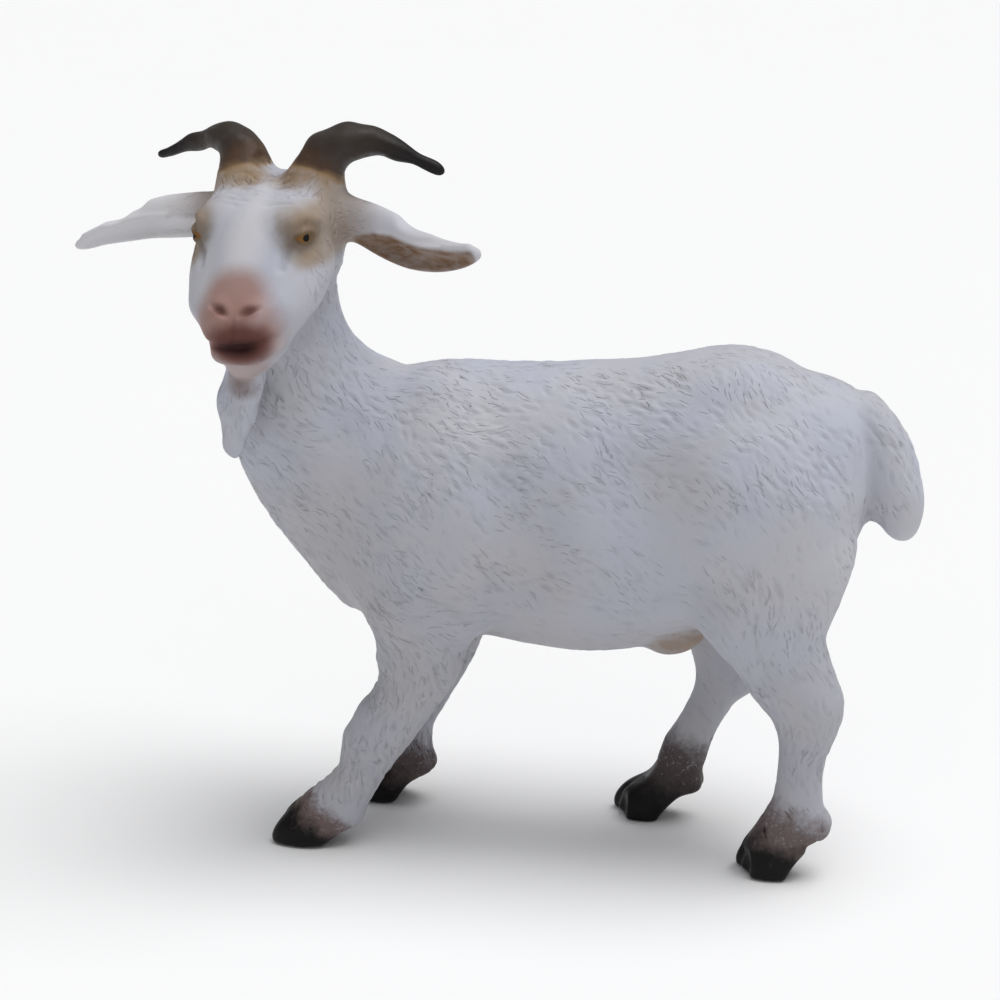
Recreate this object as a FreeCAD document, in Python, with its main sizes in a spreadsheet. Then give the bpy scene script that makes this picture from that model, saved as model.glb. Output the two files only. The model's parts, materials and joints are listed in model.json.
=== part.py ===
"""A moulded farm-goat figure: a walking white goat that looks to its left.

The figure is an assembly of soft mouldings that are glued together.  The head, each
leg, ear and horn, the beard, the tail and the udder has a round locating peg that sits
in a blind socket of the moulding that carries it.

Frame: millimetres, +Z up, the nose-to-tail direction is +X, the goat's left side is -Y.
The shapes are drawn about the goat's middle plane, and every sub-part is then placed so
that the origin is on the ground below the middle of the whole figure.
"""

import os
from math import cos, radians, sin

import FreeCAD
import Part
from FreeCAD import Placement, Rotation, Vector

doc = FreeCAD.newDocument("GoatFigure")

# ---------------------------------------------------------------- driving dimensions

DIMENSIONS = [
    # alias, value in millimetres (degrees for angles), meaning
    ("plan_centre_x", 0.42, "middle of the whole figure along X, as drawn"),
    ("plan_centre_y", -2.14, "middle of the whole figure along Y, as drawn"),
    ("ground_height", 0.9, "height of the ground under the hooves, as drawn"),
    ("barrel_front", -19.0, "X of the chest end of the barrel"),
    ("barrel_length", 63.6, "chest end of the barrel to the rump"),
    ("barrel_height", 43.0, "height of the middle of the barrel above the ground"),
    ("barrel_half_depth", 17.5, "half of the greatest depth of the barrel"),
    ("barrel_half_width", 12.2, "half of the greatest width of the barrel"),
    ("neck_half_depth", 14.2, "half of the fore-and-aft depth of the neck at its root"),
    ("neck_half_width", 10.5, "half of the width of the neck at its root"),
    ("leg_seam_height", 24.5, "height of the flat seam between each leg and the torso"),
    ("leg_spread", 7.4, "distance of each hoof from the middle plane"),
    ("foreleg_half_depth", 5.05, "half of the foreleg's depth at its seam"),
    ("foreleg_half_width", 3.9, "half of the foreleg's width at its seam"),
    ("hindleg_half_depth", 5.25, "half of the hind leg's depth at its seam"),
    ("hindleg_half_width", 4.2, "half of the hind leg's width at its seam"),
    ("cleft_width", 0.7, "width of the cleft between the two claws of a hoof"),
    ("cleft_height", 3.4, "height of the cleft above the ground"),
    ("cleft_length", 4.6, "length of the cleft from the toe backwards"),
    ("eye_x", -25.6, "X of the point midway between the eyes"),
    ("eye_y", -7.5, "Y of the point midway between the eyes"),
    ("eye_height", 75.2, "height of the point midway between the eyes"),
    ("head_turn", 75.0, "degrees that the head turns from straight ahead to the left"),
    ("head_tilt", 4.0, "degrees that the head leans to its right"),
    ("face_slope", 40.0, "degrees that the face slopes below the horizontal"),
    ("skull_half_width", 7.5, "half of the width of the skull between the eyes"),
    ("skull_half_depth", 6.8, "half of the depth of the skull, forehead to jaw"),
    ("brow_radius", 2.4, "radius of the brow over each eye"),
    ("cheek_length", 5.2, "half of the length of each cheek"),
    ("neck_seam_x", -24.0, "X of the middle of the seam between head and neck"),
    ("neck_seam_y", -1.0, "Y of the middle of the seam between head and neck"),
    ("neck_seam_height", 65.0, "height of the middle of the seam of head and neck"),
    ("horn_radius", 3.0, "radius of a horn at its root"),
    ("ear_half_chord", 2.75, "half of the greatest width of an ear"),
    ("ear_half_thickness", 1.1, "half of the greatest thickness of an ear"),
    ("beard_half_width", 2.6, "half of the greatest width of the beard"),
    ("beard_half_thickness", 1.7, "half of the greatest thickness of the beard"),
    ("tail_half_width", 3.6, "half of the greatest width of the tail"),
    ("tail_half_thickness", 3.3, "half of the greatest thickness of the tail"),
    ("udder_length", 4.3, "half of the length of the udder"),
    ("udder_radius", 2.9, "half of the depth and width of the udder"),
    ("leg_peg_radius", 1.8, "radius of the locating peg on each leg"),
    ("leg_peg_length", 5.0, "length of the locating peg on each leg"),
    ("neck_peg_radius", 2.5, "radius of the locating peg under the head"),
    ("neck_peg_length", 6.0, "length of the locating peg under the head"),
    ("horn_peg_radius", 1.2, "radius of the locating peg of each horn"),
    ("ear_peg_radius", 0.8, "radius of the locating peg of each ear"),
    ("small_peg_radius", 1.0, "radius of the pegs of the beard, the tail and the udder"),
    ("small_peg_length", 2.6, "length of the pegs of horns, ears, beard, tail, udder"),
    ("peg_gap", 0.05, "glue gap around a peg in its socket"),
    ("socket_extra_depth", 0.4, "glue space past the end of a peg"),
]

sheet = doc.addObject("Spreadsheet::Sheet", "Sizes")
for row, (alias, value, meaning) in enumerate(DIMENSIONS, start=1):
    sheet.set(f"A{row}", alias.replace("_", " "))
    sheet.set(f"B{row}", str(value))
    sheet.set(f"C{row}", meaning)
    sheet.setAlias(f"B{row}", alias)
doc.recompute()


def size(alias):
    """The number in the sheet's cell of that alias."""
    return float(sheet.get(alias))


def bind(obj, **expressions):
    """Binds properties of obj to expressions over the sheet's cells."""
    for name, expression in expressions.items():
        obj.setExpression(name.replace("__", "."), expression)
    return obj


# ---------------------------------------------------------------- building blocks


def axes_placement(centre, x_axis, z_axis):
    """A Placement whose local X and Z lie along those directions."""
    return Placement(centre, Rotation(x_axis, Vector(), z_axis, "ZXY"))


def ring(name, centre, long_axis, normal, major, minor):
    """An elliptical section. major and minor are expressions over the sheet."""
    section = doc.addObject("Part::Ellipse", name)
    section.MajorRadius = 100.0
    section.Placement = axes_placement(centre, long_axis, normal)
    return bind(section, MajorRadius=major, MinorRadius=minor)


def loft(name, sections):
    """A closed solid through the sections."""
    skin = doc.addObject("Part::Loft", name)
    skin.Sections = sections
    skin.Solid = True
    skin.Ruled = False
    return skin


def ellipsoid(name, centre, x_axis, z_axis, along_x, along_y, along_z):
    """An ellipsoid whose three half sizes are expressions over the sheet."""
    lump = doc.addObject("Part::Ellipsoid", name)
    lump.Placement = axes_placement(centre, x_axis, z_axis)
    return bind(lump, Radius1=along_z, Radius2=along_x, Radius3=along_y)


def peg(name, foot, direction, radius, length):
    """A round peg that stands on foot and points along direction."""
    pin = doc.addObject("Part::Cylinder", name)
    pin.Placement = Placement(foot, Rotation(Vector(0, 0, 1), direction))
    return bind(pin, Radius=f"Sizes.{radius}", Height=f"Sizes.{length}")


def socket(name, foot, direction, radius, length):
    """The blind hole for that peg: wider by the glue gap and a little deeper."""
    hole = peg(name, foot, direction, radius, length)
    return bind(
        hole,
        Radius=f"Sizes.{radius} + Sizes.peg_gap",
        Height=f"Sizes.{length} + Sizes.socket_extra_depth",
    )


def fuse(name, shapes):
    joined = doc.addObject("Part::MultiFuse", name)
    joined.Shapes = shapes
    return joined


def cut(name, base, tool):
    left = doc.addObject("Part::Cut", name)
    left.Base = base
    left.Tool = tool
    return left


def common(name, base, tool):
    shared = doc.addObject("Part::Common", name)
    shared.Base = base
    shared.Tool = tool
    return shared


def half_space(name, point, normal):
    """A large box on the side of the plane that its normal points to."""
    reach = 60.0
    block = doc.addObject("Part::Box", name)
    block.Length = 2 * reach
    block.Width = 2 * reach
    block.Height = reach
    turn = Rotation(Vector(0, 0, 1), normal)
    block.Placement = Placement(point + turn.multVec(Vector(-reach, -reach, 0)), turn)
    return block


X_AXIS = Vector(1, 0, 0)
Y_AXIS = Vector(0, 1, 0)
Z_AXIS = Vector(0, 0, 1)

PEG_ROOT = 0.5  # how far the peg of a leg or the head starts inside its own moulding
SMALL_PEG_ROOT = 0.6  # the same for the horns, ears, beard, tail and udder
NOTCH_REACH = 4.0  # how far the box that cuts a cleft starts ahead of the toe
NOTCH_DROP = 1.0  # and below the sole
HORN_OVAL = 0.92  # width of a horn's section over its depth
NECK_SEAM_NORMAL = Vector(-0.15, -0.6, 0.79)
UDDER_MIDDLE = Vector(22.8, -1.6, 28.5)
UDDER_SLOPE = radians(27)
UDDER_PEG_DEPTH = 0.4  # how far the udder's peg starts below the top of the udder

# ---------------------------------------------------------------- torso and neck

# Share of the barrel's length, rise of its middle, shares of its depth and width.
BARREL = [
    (0.000, -2.0, 0.43, 0.45),
    (0.063, -1.0, 0.714, 0.74),
    (0.173, 0.0, 0.90, 0.90),
    (0.330, -0.3, 0.95, 0.967),
    (0.487, -0.5, 1.0, 1.0),
    (0.613, 0.7, 0.983, 0.984),
    (0.739, 3.0, 0.923, 0.967),
    (0.849, 3.5, 0.80, 0.90),
    (0.928, 4.3, 0.67, 0.77),
    (0.975, 5.5, 0.50, 0.58),
    (1.000, 6.1, 0.25, 0.31),
]


def barrel_loft():
    rings = []
    for i, (share, rise, depth, width) in enumerate(BARREL):
        x = size("barrel_front") + share * size("barrel_length")
        rings.append(
            ring(
                f"BarrelRing{i}",
                Vector(x, 0, size("barrel_height") + rise),
                Z_AXIS,
                X_AXIS,
                f"Sizes.barrel_half_depth * {depth}",
                f"Sizes.barrel_half_width * {width}",
            )
        )
    return loft("Barrel", rings)


# X, Y and Z of the middle, shares of the root's depth and width, lean in degrees.
NECK = [
    (-5.0, 0.0, 35.5, 0.95, 0.95, 31),
    (-10.0, 0.0, 41.6, 0.98, 1.0, 31),
    (-15.0, 0.0, 48.3, 1.0, 0.91, 31),
    (-21.8, 0.0, 54.2, 0.70, 0.75, 31),
    (-24.0, -0.2, 60.0, 0.556, 0.65, 24),
    (-24.5, -0.5, 66.0, 0.472, 0.59, 14),
    (-24.3, -1.0, 71.5, 0.436, 0.57, 5),
]


def neck_loft():
    rings = []
    for i, (x, y, z, depth, width, lean) in enumerate(NECK):
        long_axis = Vector(cos(radians(lean)), 0, sin(radians(lean)))
        normal = Vector(-sin(radians(lean)), 0, cos(radians(lean)))
        rings.append(
            ring(
                f"NeckRing{i}",
                Vector(x, y, z),
                long_axis,
                normal,
                f"Sizes.neck_half_depth * {depth}",
                f"Sizes.neck_half_width * {width}",
            )
        )
    return loft("Neck", rings)


# ---------------------------------------------------------------- legs

# Height, shares of the leg's depth and width at the seam, from the seam to the sole.
FORELEG_SHAPE = [
    (24.5, 1.00, 1.00),
    (21.0, 0.89, 0.88),
    (17.5, 0.83, 0.80),
    (14.0, 0.66, 0.72),
    (11.0, 0.55, 0.64),
    (8.2, 0.66, 0.66),
    (6.0, 0.88, 0.72),
    (3.5, 0.96, 0.82),
    (0.9, 0.72, 0.80),
]
HINDLEG_SHAPE = [
    (24.5, 1.00, 1.00),
    (21.0, 0.77, 0.80),
    (18.0, 0.57, 0.64),
    (14.5, 0.53, 0.56),
    (11.0, 0.56, 0.58),
    (8.2, 0.69, 0.62),
    (5.6, 0.77, 0.68),
    (3.3, 0.75, 0.74),
    (0.9, 0.62, 0.72),
]
# X of the middle of each leg at the heights above.
LEG_PATHS = {
    "foreleg_left": (-6.9, -7.9, -10.0, -11.5, -13.2, -15.3, -17.6, -19.4, -20.8),
    "foreleg_right": (-6.2, -7.2, -8.6, -9.9, -10.9, -11.7, -12.4, -13.2, -13.9),
    "hindleg_left": (36.6, 38.2, 38.4, 38.2, 38.0, 37.4, 35.9, 34.9, 34.2),
    "hindleg_right": (28.2, 28.0, 26.9, 25.1, 23.3, 21.9, 20.2, 18.6, 17.6),
}
# How the torso carries each leg on above its seam: height, shares of the leg's depth
# and width at the seam, and the shift towards the middle plane.
STUMP_SHAPES = {
    "foreleg": [
        (29.5, 1.18, 1.05, 0.2),
        (36.0, 1.5, 1.1, 1.0),
        (44.0, 1.6, 0.9, 2.4),
    ],
    "hindleg": [
        (27.0, 1.05, 1.03, 0.1),
        (29.5, 1.19, 1.08, 0.2),
        (36.0, 1.68, 1.15, 1.0),
        (44.0, 2.0, 1.0, 2.4),
    ],
}
# X of the middle of each leg's root at the heights above.
STUMP_PATHS = {
    "foreleg_left": (-5.9, -5.1, -4.6),
    "foreleg_right": (-5.6, -5.0, -4.6),
    "hindleg_left": (35.2, 33.9, 33.0, 32.5),
    "hindleg_right": (28.4, 28.9, 31.0, 32.5),
}


def side_of(name):
    """-1 on the goat's left, which is -Y, and +1 on its right."""
    return -1 if name.endswith("left") else 1


def leg_skin(name, shape):
    """The leg from its flat seam down to the sole of its hoof."""
    kind = name.split("_")[0]
    rings = [
        ring(
            f"{name}_ring{i}",
            Vector(x, side_of(name) * size("leg_spread"), height),
            X_AXIS,
            Z_AXIS,
            f"Sizes.{kind}_half_depth * {depth}",
            f"Sizes.{kind}_half_width * {width}",
        )
        for i, ((height, depth, width), x) in enumerate(zip(shape, LEG_PATHS[name]))
    ]
    return loft(f"{name}_skin", rings)


def stump(name):
    """The root of a leg that belongs to the torso, from the seam upwards."""
    kind = name.split("_")[0]
    stations = [(size("leg_seam_height"), 1.0, 1.0, 0.0), *STUMP_SHAPES[kind]]
    path = (LEG_PATHS[name][0], *STUMP_PATHS[name])
    rings = [
        ring(
            f"{name}_stump{i}",
            Vector(x, side_of(name) * (size("leg_spread") - inwards), height),
            X_AXIS,
            Z_AXIS,
            f"Sizes.{kind}_half_depth * {depth}",
            f"Sizes.{kind}_half_width * {width}",
        )
        for i, ((height, depth, width, inwards), x) in enumerate(zip(stations, path))
    ]
    return loft(f"{name}_stump", rings)


def cleft(name, toe_x):
    """The notch from the toe that parts the two claws of a hoof."""
    notch = doc.addObject("Part::Box", f"{name}_cleft")
    middle_y = side_of(name) * size("leg_spread")
    corner = Vector(
        toe_x - NOTCH_REACH,
        middle_y - size("cleft_width") / 2,
        size("ground_height") - NOTCH_DROP,
    )
    notch.Placement = Placement(corner, Rotation())
    return bind(
        notch,
        Length=f"Sizes.cleft_length + {NOTCH_REACH}",
        Width="Sizes.cleft_width",
        Height=f"Sizes.cleft_height + {NOTCH_DROP}",
    )


def leg(name):
    """One leg with its hoof and its peg. Returns the leg and the socket for its peg."""
    kind = name.split("_")[0]
    shape = FORELEG_SHAPE if kind == "foreleg" else HINDLEG_SHAPE
    path = LEG_PATHS[name]
    toe_x = path[-2] - shape[-2][1] * size(f"{kind}_half_depth")
    foot_height = size("leg_seam_height") - PEG_ROOT
    start = Vector(path[0], side_of(name) * size("leg_spread"), foot_height)
    pin = peg(f"{name}_peg", start, Z_AXIS, "leg_peg_radius", "leg_peg_length")
    whole = fuse(f"{name}_pegged", [leg_skin(name, shape), pin])
    made = cut(f"{name}_part", whole, cleft(name, toe_x))
    made.Label = name
    hole = socket(f"{name}_socket", start, Z_AXIS, "leg_peg_radius", "leg_peg_length")
    return made, hole


# ---------------------------------------------------------------- head


def turned_axes():
    """The head's own directions: its left, its up, along the face and out of the face."""
    turn = Rotation(Z_AXIS, size("head_turn"))
    ahead = turn.multVec(Vector(-1, 0, 0))
    level_left = turn.multVec(Vector(0, -1, 0))
    tilt = Rotation(ahead, size("head_tilt"))
    left = tilt.multVec(level_left)
    up = tilt.multVec(Z_AXIS)
    slope = radians(size("face_slope"))
    along = ahead * cos(slope) - up * sin(slope)
    out = ahead * sin(slope) + up * cos(slope)
    return ahead, left, up, along, out


AHEAD, LEFT, UP, ALONG, OUT = turned_axes()
EYES = Vector(size("eye_x"), size("eye_y"), size("eye_height"))


def face_point(along, out, left=0.0):
    """A point given along the face, out of it and to the head's left, from the eyes."""
    return EYES + ALONG * along + OUT * out + LEFT * left


def head_point(ahead, left, up):
    """A point given level ahead, to the head's left and upwards, from the eyes."""
    return EYES + AHEAD * ahead + LEFT * left + UP * up


# Distance along the face, middle of the section out of the face, shares of the
# skull's half width and half depth.
SKULL = [
    (-12.0, -6.2, 0.40, 0.33),
    (-11.0, -6.0, 0.66, 0.58),
    (-8.0, -5.0, 0.90, 0.80),
    (-4.0, -4.1, 0.99, 0.96),
    (0.0, -3.7, 1.02, 0.97),
    (4.0, -4.2, 1.01, 0.88),
    (8.0, -4.8, 0.88, 0.76),
    (11.0, -5.1, 0.77, 0.66),
    (13.0, -5.2, 0.62, 0.51),
    (14.2, -5.3, 0.31, 0.27),
]


def skull_loft():
    rings = [
        ring(
            f"SkullRing{i}",
            face_point(along, out),
            LEFT,
            ALONG,
            f"Sizes.skull_half_width * {width}",
            f"Sizes.skull_half_depth * {depth}",
        )
        for i, (along, out, width, depth) in enumerate(SKULL)
    ]
    return loft("Skull", rings)


def brow(side):
    name = "BrowLeft" if side > 0 else "BrowRight"
    radius = "Sizes.brow_radius"
    return ellipsoid(
        name,
        face_point(-0.8, 0.6, side * 5.3),
        ALONG,
        OUT,
        f"{radius} * 1.25",
        radius,
        f"{radius} * 0.9",
    )


def cheek(side):
    name = "CheekLeft" if side > 0 else "CheekRight"
    length = "Sizes.cheek_length"
    return ellipsoid(
        name,
        face_point(-3.2, -6.4, side * 3.9),
        ALONG,
        OUT,
        length,
        f"{length} * 0.62",
        f"{length} * 0.85",
    )


# Ahead, left and up of the middle of each section, and share of the root's radius.
HORNS = {
    "horn_left": [
        (-6.8, 4.3, 3.9, 0.98),
        (-7.6, 5.3, 7.0, 0.98),
        (-8.4, 7.1, 8.8, 0.90),
        (-9.2, 9.4, 9.3, 0.75),
        (-10.0, 11.9, 8.8, 0.57),
        (-10.7, 14.8, 7.5, 0.39),
        (-11.2, 17.3, 6.2, 0.27),
        (-11.4, 18.6, 5.5, 0.21),
        (-11.5, 19.0, 5.3, 0.10),
    ],
    "horn_right": [
        (-6.8, -4.3, 3.9, 0.98),
        (-7.6, -4.8, 7.0, 0.93),
        (-8.4, -6.1, 8.8, 0.83),
        (-9.2, -8.2, 9.4, 0.65),
        (-10.0, -11.2, 9.0, 0.45),
        (-10.7, -14.5, 7.9, 0.31),
        (-11.2, -17.3, 7.0, 0.24),
        (-11.4, -18.4, 6.7, 0.19),
        (-11.5, -18.8, 6.6, 0.09),
    ],
}


def path_directions(points):
    """The unit direction of a path of points at each of them."""
    last = len(points) - 1
    found = []
    for i in range(len(points)):
        step = points[min(i + 1, last)] - points[max(i - 1, 0)]
        found.append(step.normalize())
    return found


def swept_rings(name, points, side_axis, majors, minors):
    """Sections square to a path, each with its long axis as near side_axis as fits."""
    rings = []
    directions = path_directions(points)
    for i, (point, way) in enumerate(zip(points, directions)):
        long_axis = side_axis - way * side_axis.dot(way)
        rings.append(
            ring(f"{name}_ring{i}", point, long_axis.normalize(), way, majors[i], minors[i])
        )
    return rings


def rooted(name, skin, foot, inward, radius, length="small_peg_length"):
    """A glued-on piece with its peg, and the socket that its peg needs."""
    start = foot - inward * SMALL_PEG_ROOT
    pin = peg(f"{name}_peg", start, inward, radius, length)
    made = fuse(f"{name}_part", [skin, pin])
    made.Label = name
    hole = socket(f"{name}_socket", start, inward, radius, length)
    return made, hole


def horn(name):
    stations = HORNS[name]
    points = [head_point(ahead, left, up) for ahead, left, up, _ in stations]
    radii = [f"Sizes.horn_radius * {share}" for *_, share in stations]
    oval = [f"Sizes.horn_radius * {share * HORN_OVAL:.3f}" for *_, share in stations]
    skin = loft(f"{name}_skin", swept_rings(name, points, AHEAD, radii, oval))
    inward = path_directions(points)[0] * -1
    return skin, *rooted(name, skin, points[0], inward, "horn_peg_radius")


# Ahead, left and up of the middle of each section, shares of chord and thickness.
EARS = {
    "ear_left": [
        (-7.6, 5.8, 0.0, 0.74, 1.50),
        (-7.4, 8.0, 0.5, 0.90, 1.55),
        (-6.9, 10.6, 0.1, 1.02, 1.45),
        (-6.3, 13.2, -0.7, 1.09, 1.30),
        (-5.5, 16.2, -1.7, 1.03, 1.20),
        (-4.7, 19.4, -2.4, 0.86, 1.05),
        (-4.0, 22.8, -2.6, 0.65, 0.90),
        (-3.3, 25.6, -2.2, 0.40, 0.70),
        (-3.0, 26.9, -1.9, 0.20, 0.40),
    ],
    "ear_right": [
        (-7.6, -5.8, 0.0, 0.74, 1.50),
        (-7.4, -8.4, 0.6, 0.90, 1.55),
        (-6.9, -11.5, 0.6, 0.97, 1.45),
        (-6.2, -14.6, 0.4, 0.95, 1.30),
        (-5.4, -17.8, -0.1, 0.82, 1.15),
        (-4.6, -20.9, -1.0, 0.63, 1.00),
        (-3.8, -23.6, -2.0, 0.43, 0.80),
        (-3.2, -25.6, -2.7, 0.27, 0.55),
        (-3.0, -26.3, -2.9, 0.14, 0.28),
    ],
}


def ear(name):
    stations = EARS[name]
    points = [head_point(ahead, left, up) for ahead, left, up, *_ in stations]
    chords = [f"Sizes.ear_half_chord * {row[3]}" for row in stations]
    depths = [f"Sizes.ear_half_thickness * {row[4]}" for row in stations]
    skin = loft(f"{name}_skin", swept_rings(name, points, UP, chords, depths))
    inward = path_directions(points)[0] * -1
    return skin, *rooted(name, skin, points[0], inward, "ear_peg_radius")


# Ahead, left and up of the middle of each section, shares of width and thickness.
BEARD = [
    (3.0, -0.6, -13.0, 0.88, 0.90),
    (3.1, -1.1, -15.6, 0.92, 1.00),
    (3.1, -1.9, -18.2, 0.95, 1.00),
    (3.2, -2.5, -20.6, 0.86, 0.92),
    (3.4, -3.0, -22.9, 0.64, 0.72),
    (3.5, -3.3, -24.5, 0.40, 0.46),
    (3.6, -3.4, -25.4, 0.18, 0.20),
]


def beard():
    points = [head_point(ahead, left, up) for ahead, left, up, *_ in BEARD]
    widths = [f"Sizes.beard_half_width * {row[3]}" for row in BEARD]
    depths = [f"Sizes.beard_half_thickness * {row[4]}" for row in BEARD]
    skin = loft("beard_skin", swept_rings("beard", points, LEFT, widths, depths))
    return skin, *rooted("beard", skin, points[0], UP * 0.8 - AHEAD * 0.6, "small_peg_radius")


# X and Z of the middle of each section, shares of width and thickness.
TAIL = [
    (42.6, 56.6, 0.70, 0.70),
    (44.6, 54.6, 0.80, 0.78),
    (46.3, 51.4, 0.90, 0.86),
    (47.3, 47.4, 1.00, 1.00),
    (48.2, 43.6, 0.86, 0.84),
    (48.5, 41.4, 0.60, 0.56),
    (48.5, 40.4, 0.30, 0.28),
]


def tail():
    points = [Vector(x, 0, z) for x, z, *_ in TAIL]
    widths = [f"Sizes.tail_half_width * {row[2]}" for row in TAIL]
    depths = [f"Sizes.tail_half_thickness * {row[3]}" for row in TAIL]
    skin = loft("tail_skin", swept_rings("tail", points, Y_AXIS, widths, depths))
    return skin, *rooted("tail", skin, points[0], Vector(-1, 0, 0), "small_peg_radius")


def udder():
    """A soft lump under the belly, just ahead of the hind legs."""
    along = Vector(cos(UDDER_SLOPE), 0, sin(UDDER_SLOPE))
    out = Vector(-sin(UDDER_SLOPE), 0, cos(UDDER_SLOPE))
    skin = ellipsoid(
        "udder_skin",
        UDDER_MIDDLE,
        along,
        out,
        "Sizes.udder_length",
        "Sizes.udder_radius",
        "Sizes.udder_radius",
    )
    top = UDDER_MIDDLE + out * (size("udder_radius") - UDDER_PEG_DEPTH)
    return skin, *rooted("udder", skin, top, Z_AXIS, "small_peg_radius")


# ---------------------------------------------------------------- assembly


def neck_seam():
    """A point and the upward normal of the flat seam between neck and head."""
    point = Vector(size("neck_seam_x"), size("neck_seam_y"), size("neck_seam_height"))
    return point, Vector(NECK_SEAM_NORMAL).normalize()


def make_torso(neck_below, stumps, tools):
    """The barrel, the lower neck and the roots of the legs, less every socket."""
    body = fuse("torso_body", [barrel_loft(), neck_below, *stumps])
    torso = cut("torso_part", body, fuse("torso_tools", tools))
    torso.Label = "torso"
    return torso


def make_head(neck_above, neck_peg, glued):
    """The skull with its brows and cheeks, less the seats of everything glued on it."""
    lumps = [form(side) for side in (1, -1) for form in (brow, cheek)]
    body = fuse("head_body", [skull_loft(), neck_above, *lumps, neck_peg])
    seats = [piece for skin, _, hole in glued for piece in (skin, hole)]
    head = cut("head_part", body, fuse("head_tools", seats))
    head.Label = "head"
    return head


def build():
    """Makes every sub-part and returns them in order."""
    legs, leg_sockets = zip(*(leg(name) for name in LEG_PATHS))
    stumps = [stump(name) for name in LEG_PATHS]
    tail_skin, tail_part, tail_socket = tail()
    udder_skin, udder_part, udder_socket = udder()

    seam, upwards = neck_seam()
    neck = neck_loft()
    above = half_space("AboveNeckSeam", seam, upwards)
    start, down = seam + upwards * PEG_ROOT, upwards * -1
    neck_peg = peg("neck_peg", start, down, "neck_peg_radius", "neck_peg_length")
    neck_socket = socket("neck_socket", start, down, "neck_peg_radius", "neck_peg_length")

    seats = [tail_skin, tail_socket, udder_skin, udder_socket, neck_socket, *leg_sockets]
    torso = make_torso(cut("NeckBelowSeam", neck, above), stumps, seats)

    glued = [*(horn(name) for name in HORNS), *(ear(name) for name in EARS), beard()]
    head = make_head(common("NeckAboveSeam", neck, above), neck_peg, glued)
    return [torso, head, *(part for _, part, _ in glued), *legs, tail_part, udder_part]


def place(parts):
    """Moves every sub-part so that the origin is on the ground below the middle."""
    for part in parts:
        bind(
            part,
            Placement__Base__x="-Sizes.plan_centre_x",
            Placement__Base__y="-Sizes.plan_centre_y",
            Placement__Base__z="-Sizes.ground_height",
        )


def check(parts):
    """Stops if any object failed to recompute or a sub-part isn't a sound solid."""
    for obj in doc.Objects:
        if "Invalid" in obj.State or "Error" in obj.State:
            raise RuntimeError(f"{obj.Label} did not recompute: {obj.State}")
    for part in parts:
        shape = part.Shape
        if shape.isNull() or not shape.isValid() or shape.Volume <= 0:
            raise RuntimeError(f"{part.Label} has no sound solid")


def export(parts):
    os.makedirs("parts", exist_ok=True)
    for part in parts:
        part.Shape.exportStep(f"parts/{part.Label}.step")
        count = len(part.Shape.Solids)
        print(f"{part.Label:16s} {count} solid(s) {part.Shape.Volume:9.1f} mm3")


parts = build()
place(parts)
doc.recompute()
check(parts)
export(parts)
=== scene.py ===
"""A moulded white farm goat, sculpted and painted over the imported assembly.

The nodes of the frame are read as distance fields, merged into one body with soft
creases, sculpted (face, ears, hooves, muscles), meshed, combed with tooled hair and cut
again into one closed piece per node. Only the beard is meshed by itself. Lengths are in
millimetres until a piece is made.
"""

import json
from math import cos, radians, sin

import bmesh
import bpy
import numpy as np
import openvdb
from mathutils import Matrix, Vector, kdtree, noise

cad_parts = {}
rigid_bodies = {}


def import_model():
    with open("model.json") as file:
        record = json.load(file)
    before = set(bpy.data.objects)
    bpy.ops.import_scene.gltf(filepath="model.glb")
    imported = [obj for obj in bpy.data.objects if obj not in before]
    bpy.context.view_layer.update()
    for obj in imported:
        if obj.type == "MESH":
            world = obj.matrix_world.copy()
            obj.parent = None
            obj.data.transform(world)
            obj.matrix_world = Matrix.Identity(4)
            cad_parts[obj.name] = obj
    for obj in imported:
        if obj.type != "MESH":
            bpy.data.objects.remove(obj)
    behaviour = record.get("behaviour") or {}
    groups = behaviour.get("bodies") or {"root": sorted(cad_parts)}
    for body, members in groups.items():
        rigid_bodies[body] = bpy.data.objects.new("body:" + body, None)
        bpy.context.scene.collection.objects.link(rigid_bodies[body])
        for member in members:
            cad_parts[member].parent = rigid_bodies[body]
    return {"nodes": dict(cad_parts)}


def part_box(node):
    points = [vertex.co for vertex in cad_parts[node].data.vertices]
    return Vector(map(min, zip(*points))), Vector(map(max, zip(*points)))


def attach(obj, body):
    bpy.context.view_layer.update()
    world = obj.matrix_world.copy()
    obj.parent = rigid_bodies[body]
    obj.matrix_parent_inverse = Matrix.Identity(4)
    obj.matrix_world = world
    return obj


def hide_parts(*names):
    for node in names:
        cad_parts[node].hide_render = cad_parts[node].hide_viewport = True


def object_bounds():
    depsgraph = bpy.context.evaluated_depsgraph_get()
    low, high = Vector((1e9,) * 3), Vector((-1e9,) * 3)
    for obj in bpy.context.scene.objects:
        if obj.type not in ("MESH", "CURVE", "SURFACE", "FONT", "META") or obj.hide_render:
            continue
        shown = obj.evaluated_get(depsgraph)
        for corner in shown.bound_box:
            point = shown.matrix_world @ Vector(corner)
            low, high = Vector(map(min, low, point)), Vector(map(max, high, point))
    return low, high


for leftover in list(bpy.data.objects):
    bpy.data.objects.remove(leftover)

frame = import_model()
CAD_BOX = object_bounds()

MM = 0.001
STEP = 0.32  # spacing of the body's samples
FINE = STEP / 2  # spacing of the samples of the head and the legs
BAND = 13  # samples on each side of a surface whose distance is known
MARGIN = 5.0  # space around the figure in the sampled box

BODY_NODES = ["torso", "head", "foreleg_left", "foreleg_right", "hindleg_left", "hindleg_right"]
LEGS = BODY_NODES[2:]


def millimetres(corner):
    return np.array(corner, dtype=float) / MM


def node_box(node):
    """Lowest and highest corner of a node, in millimetres."""
    return tuple(millimetres(corner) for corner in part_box(node))


def unit(v):
    v = np.asarray(v, dtype=float)
    return v / np.linalg.norm(v)


# ---- the head's own axes

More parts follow.
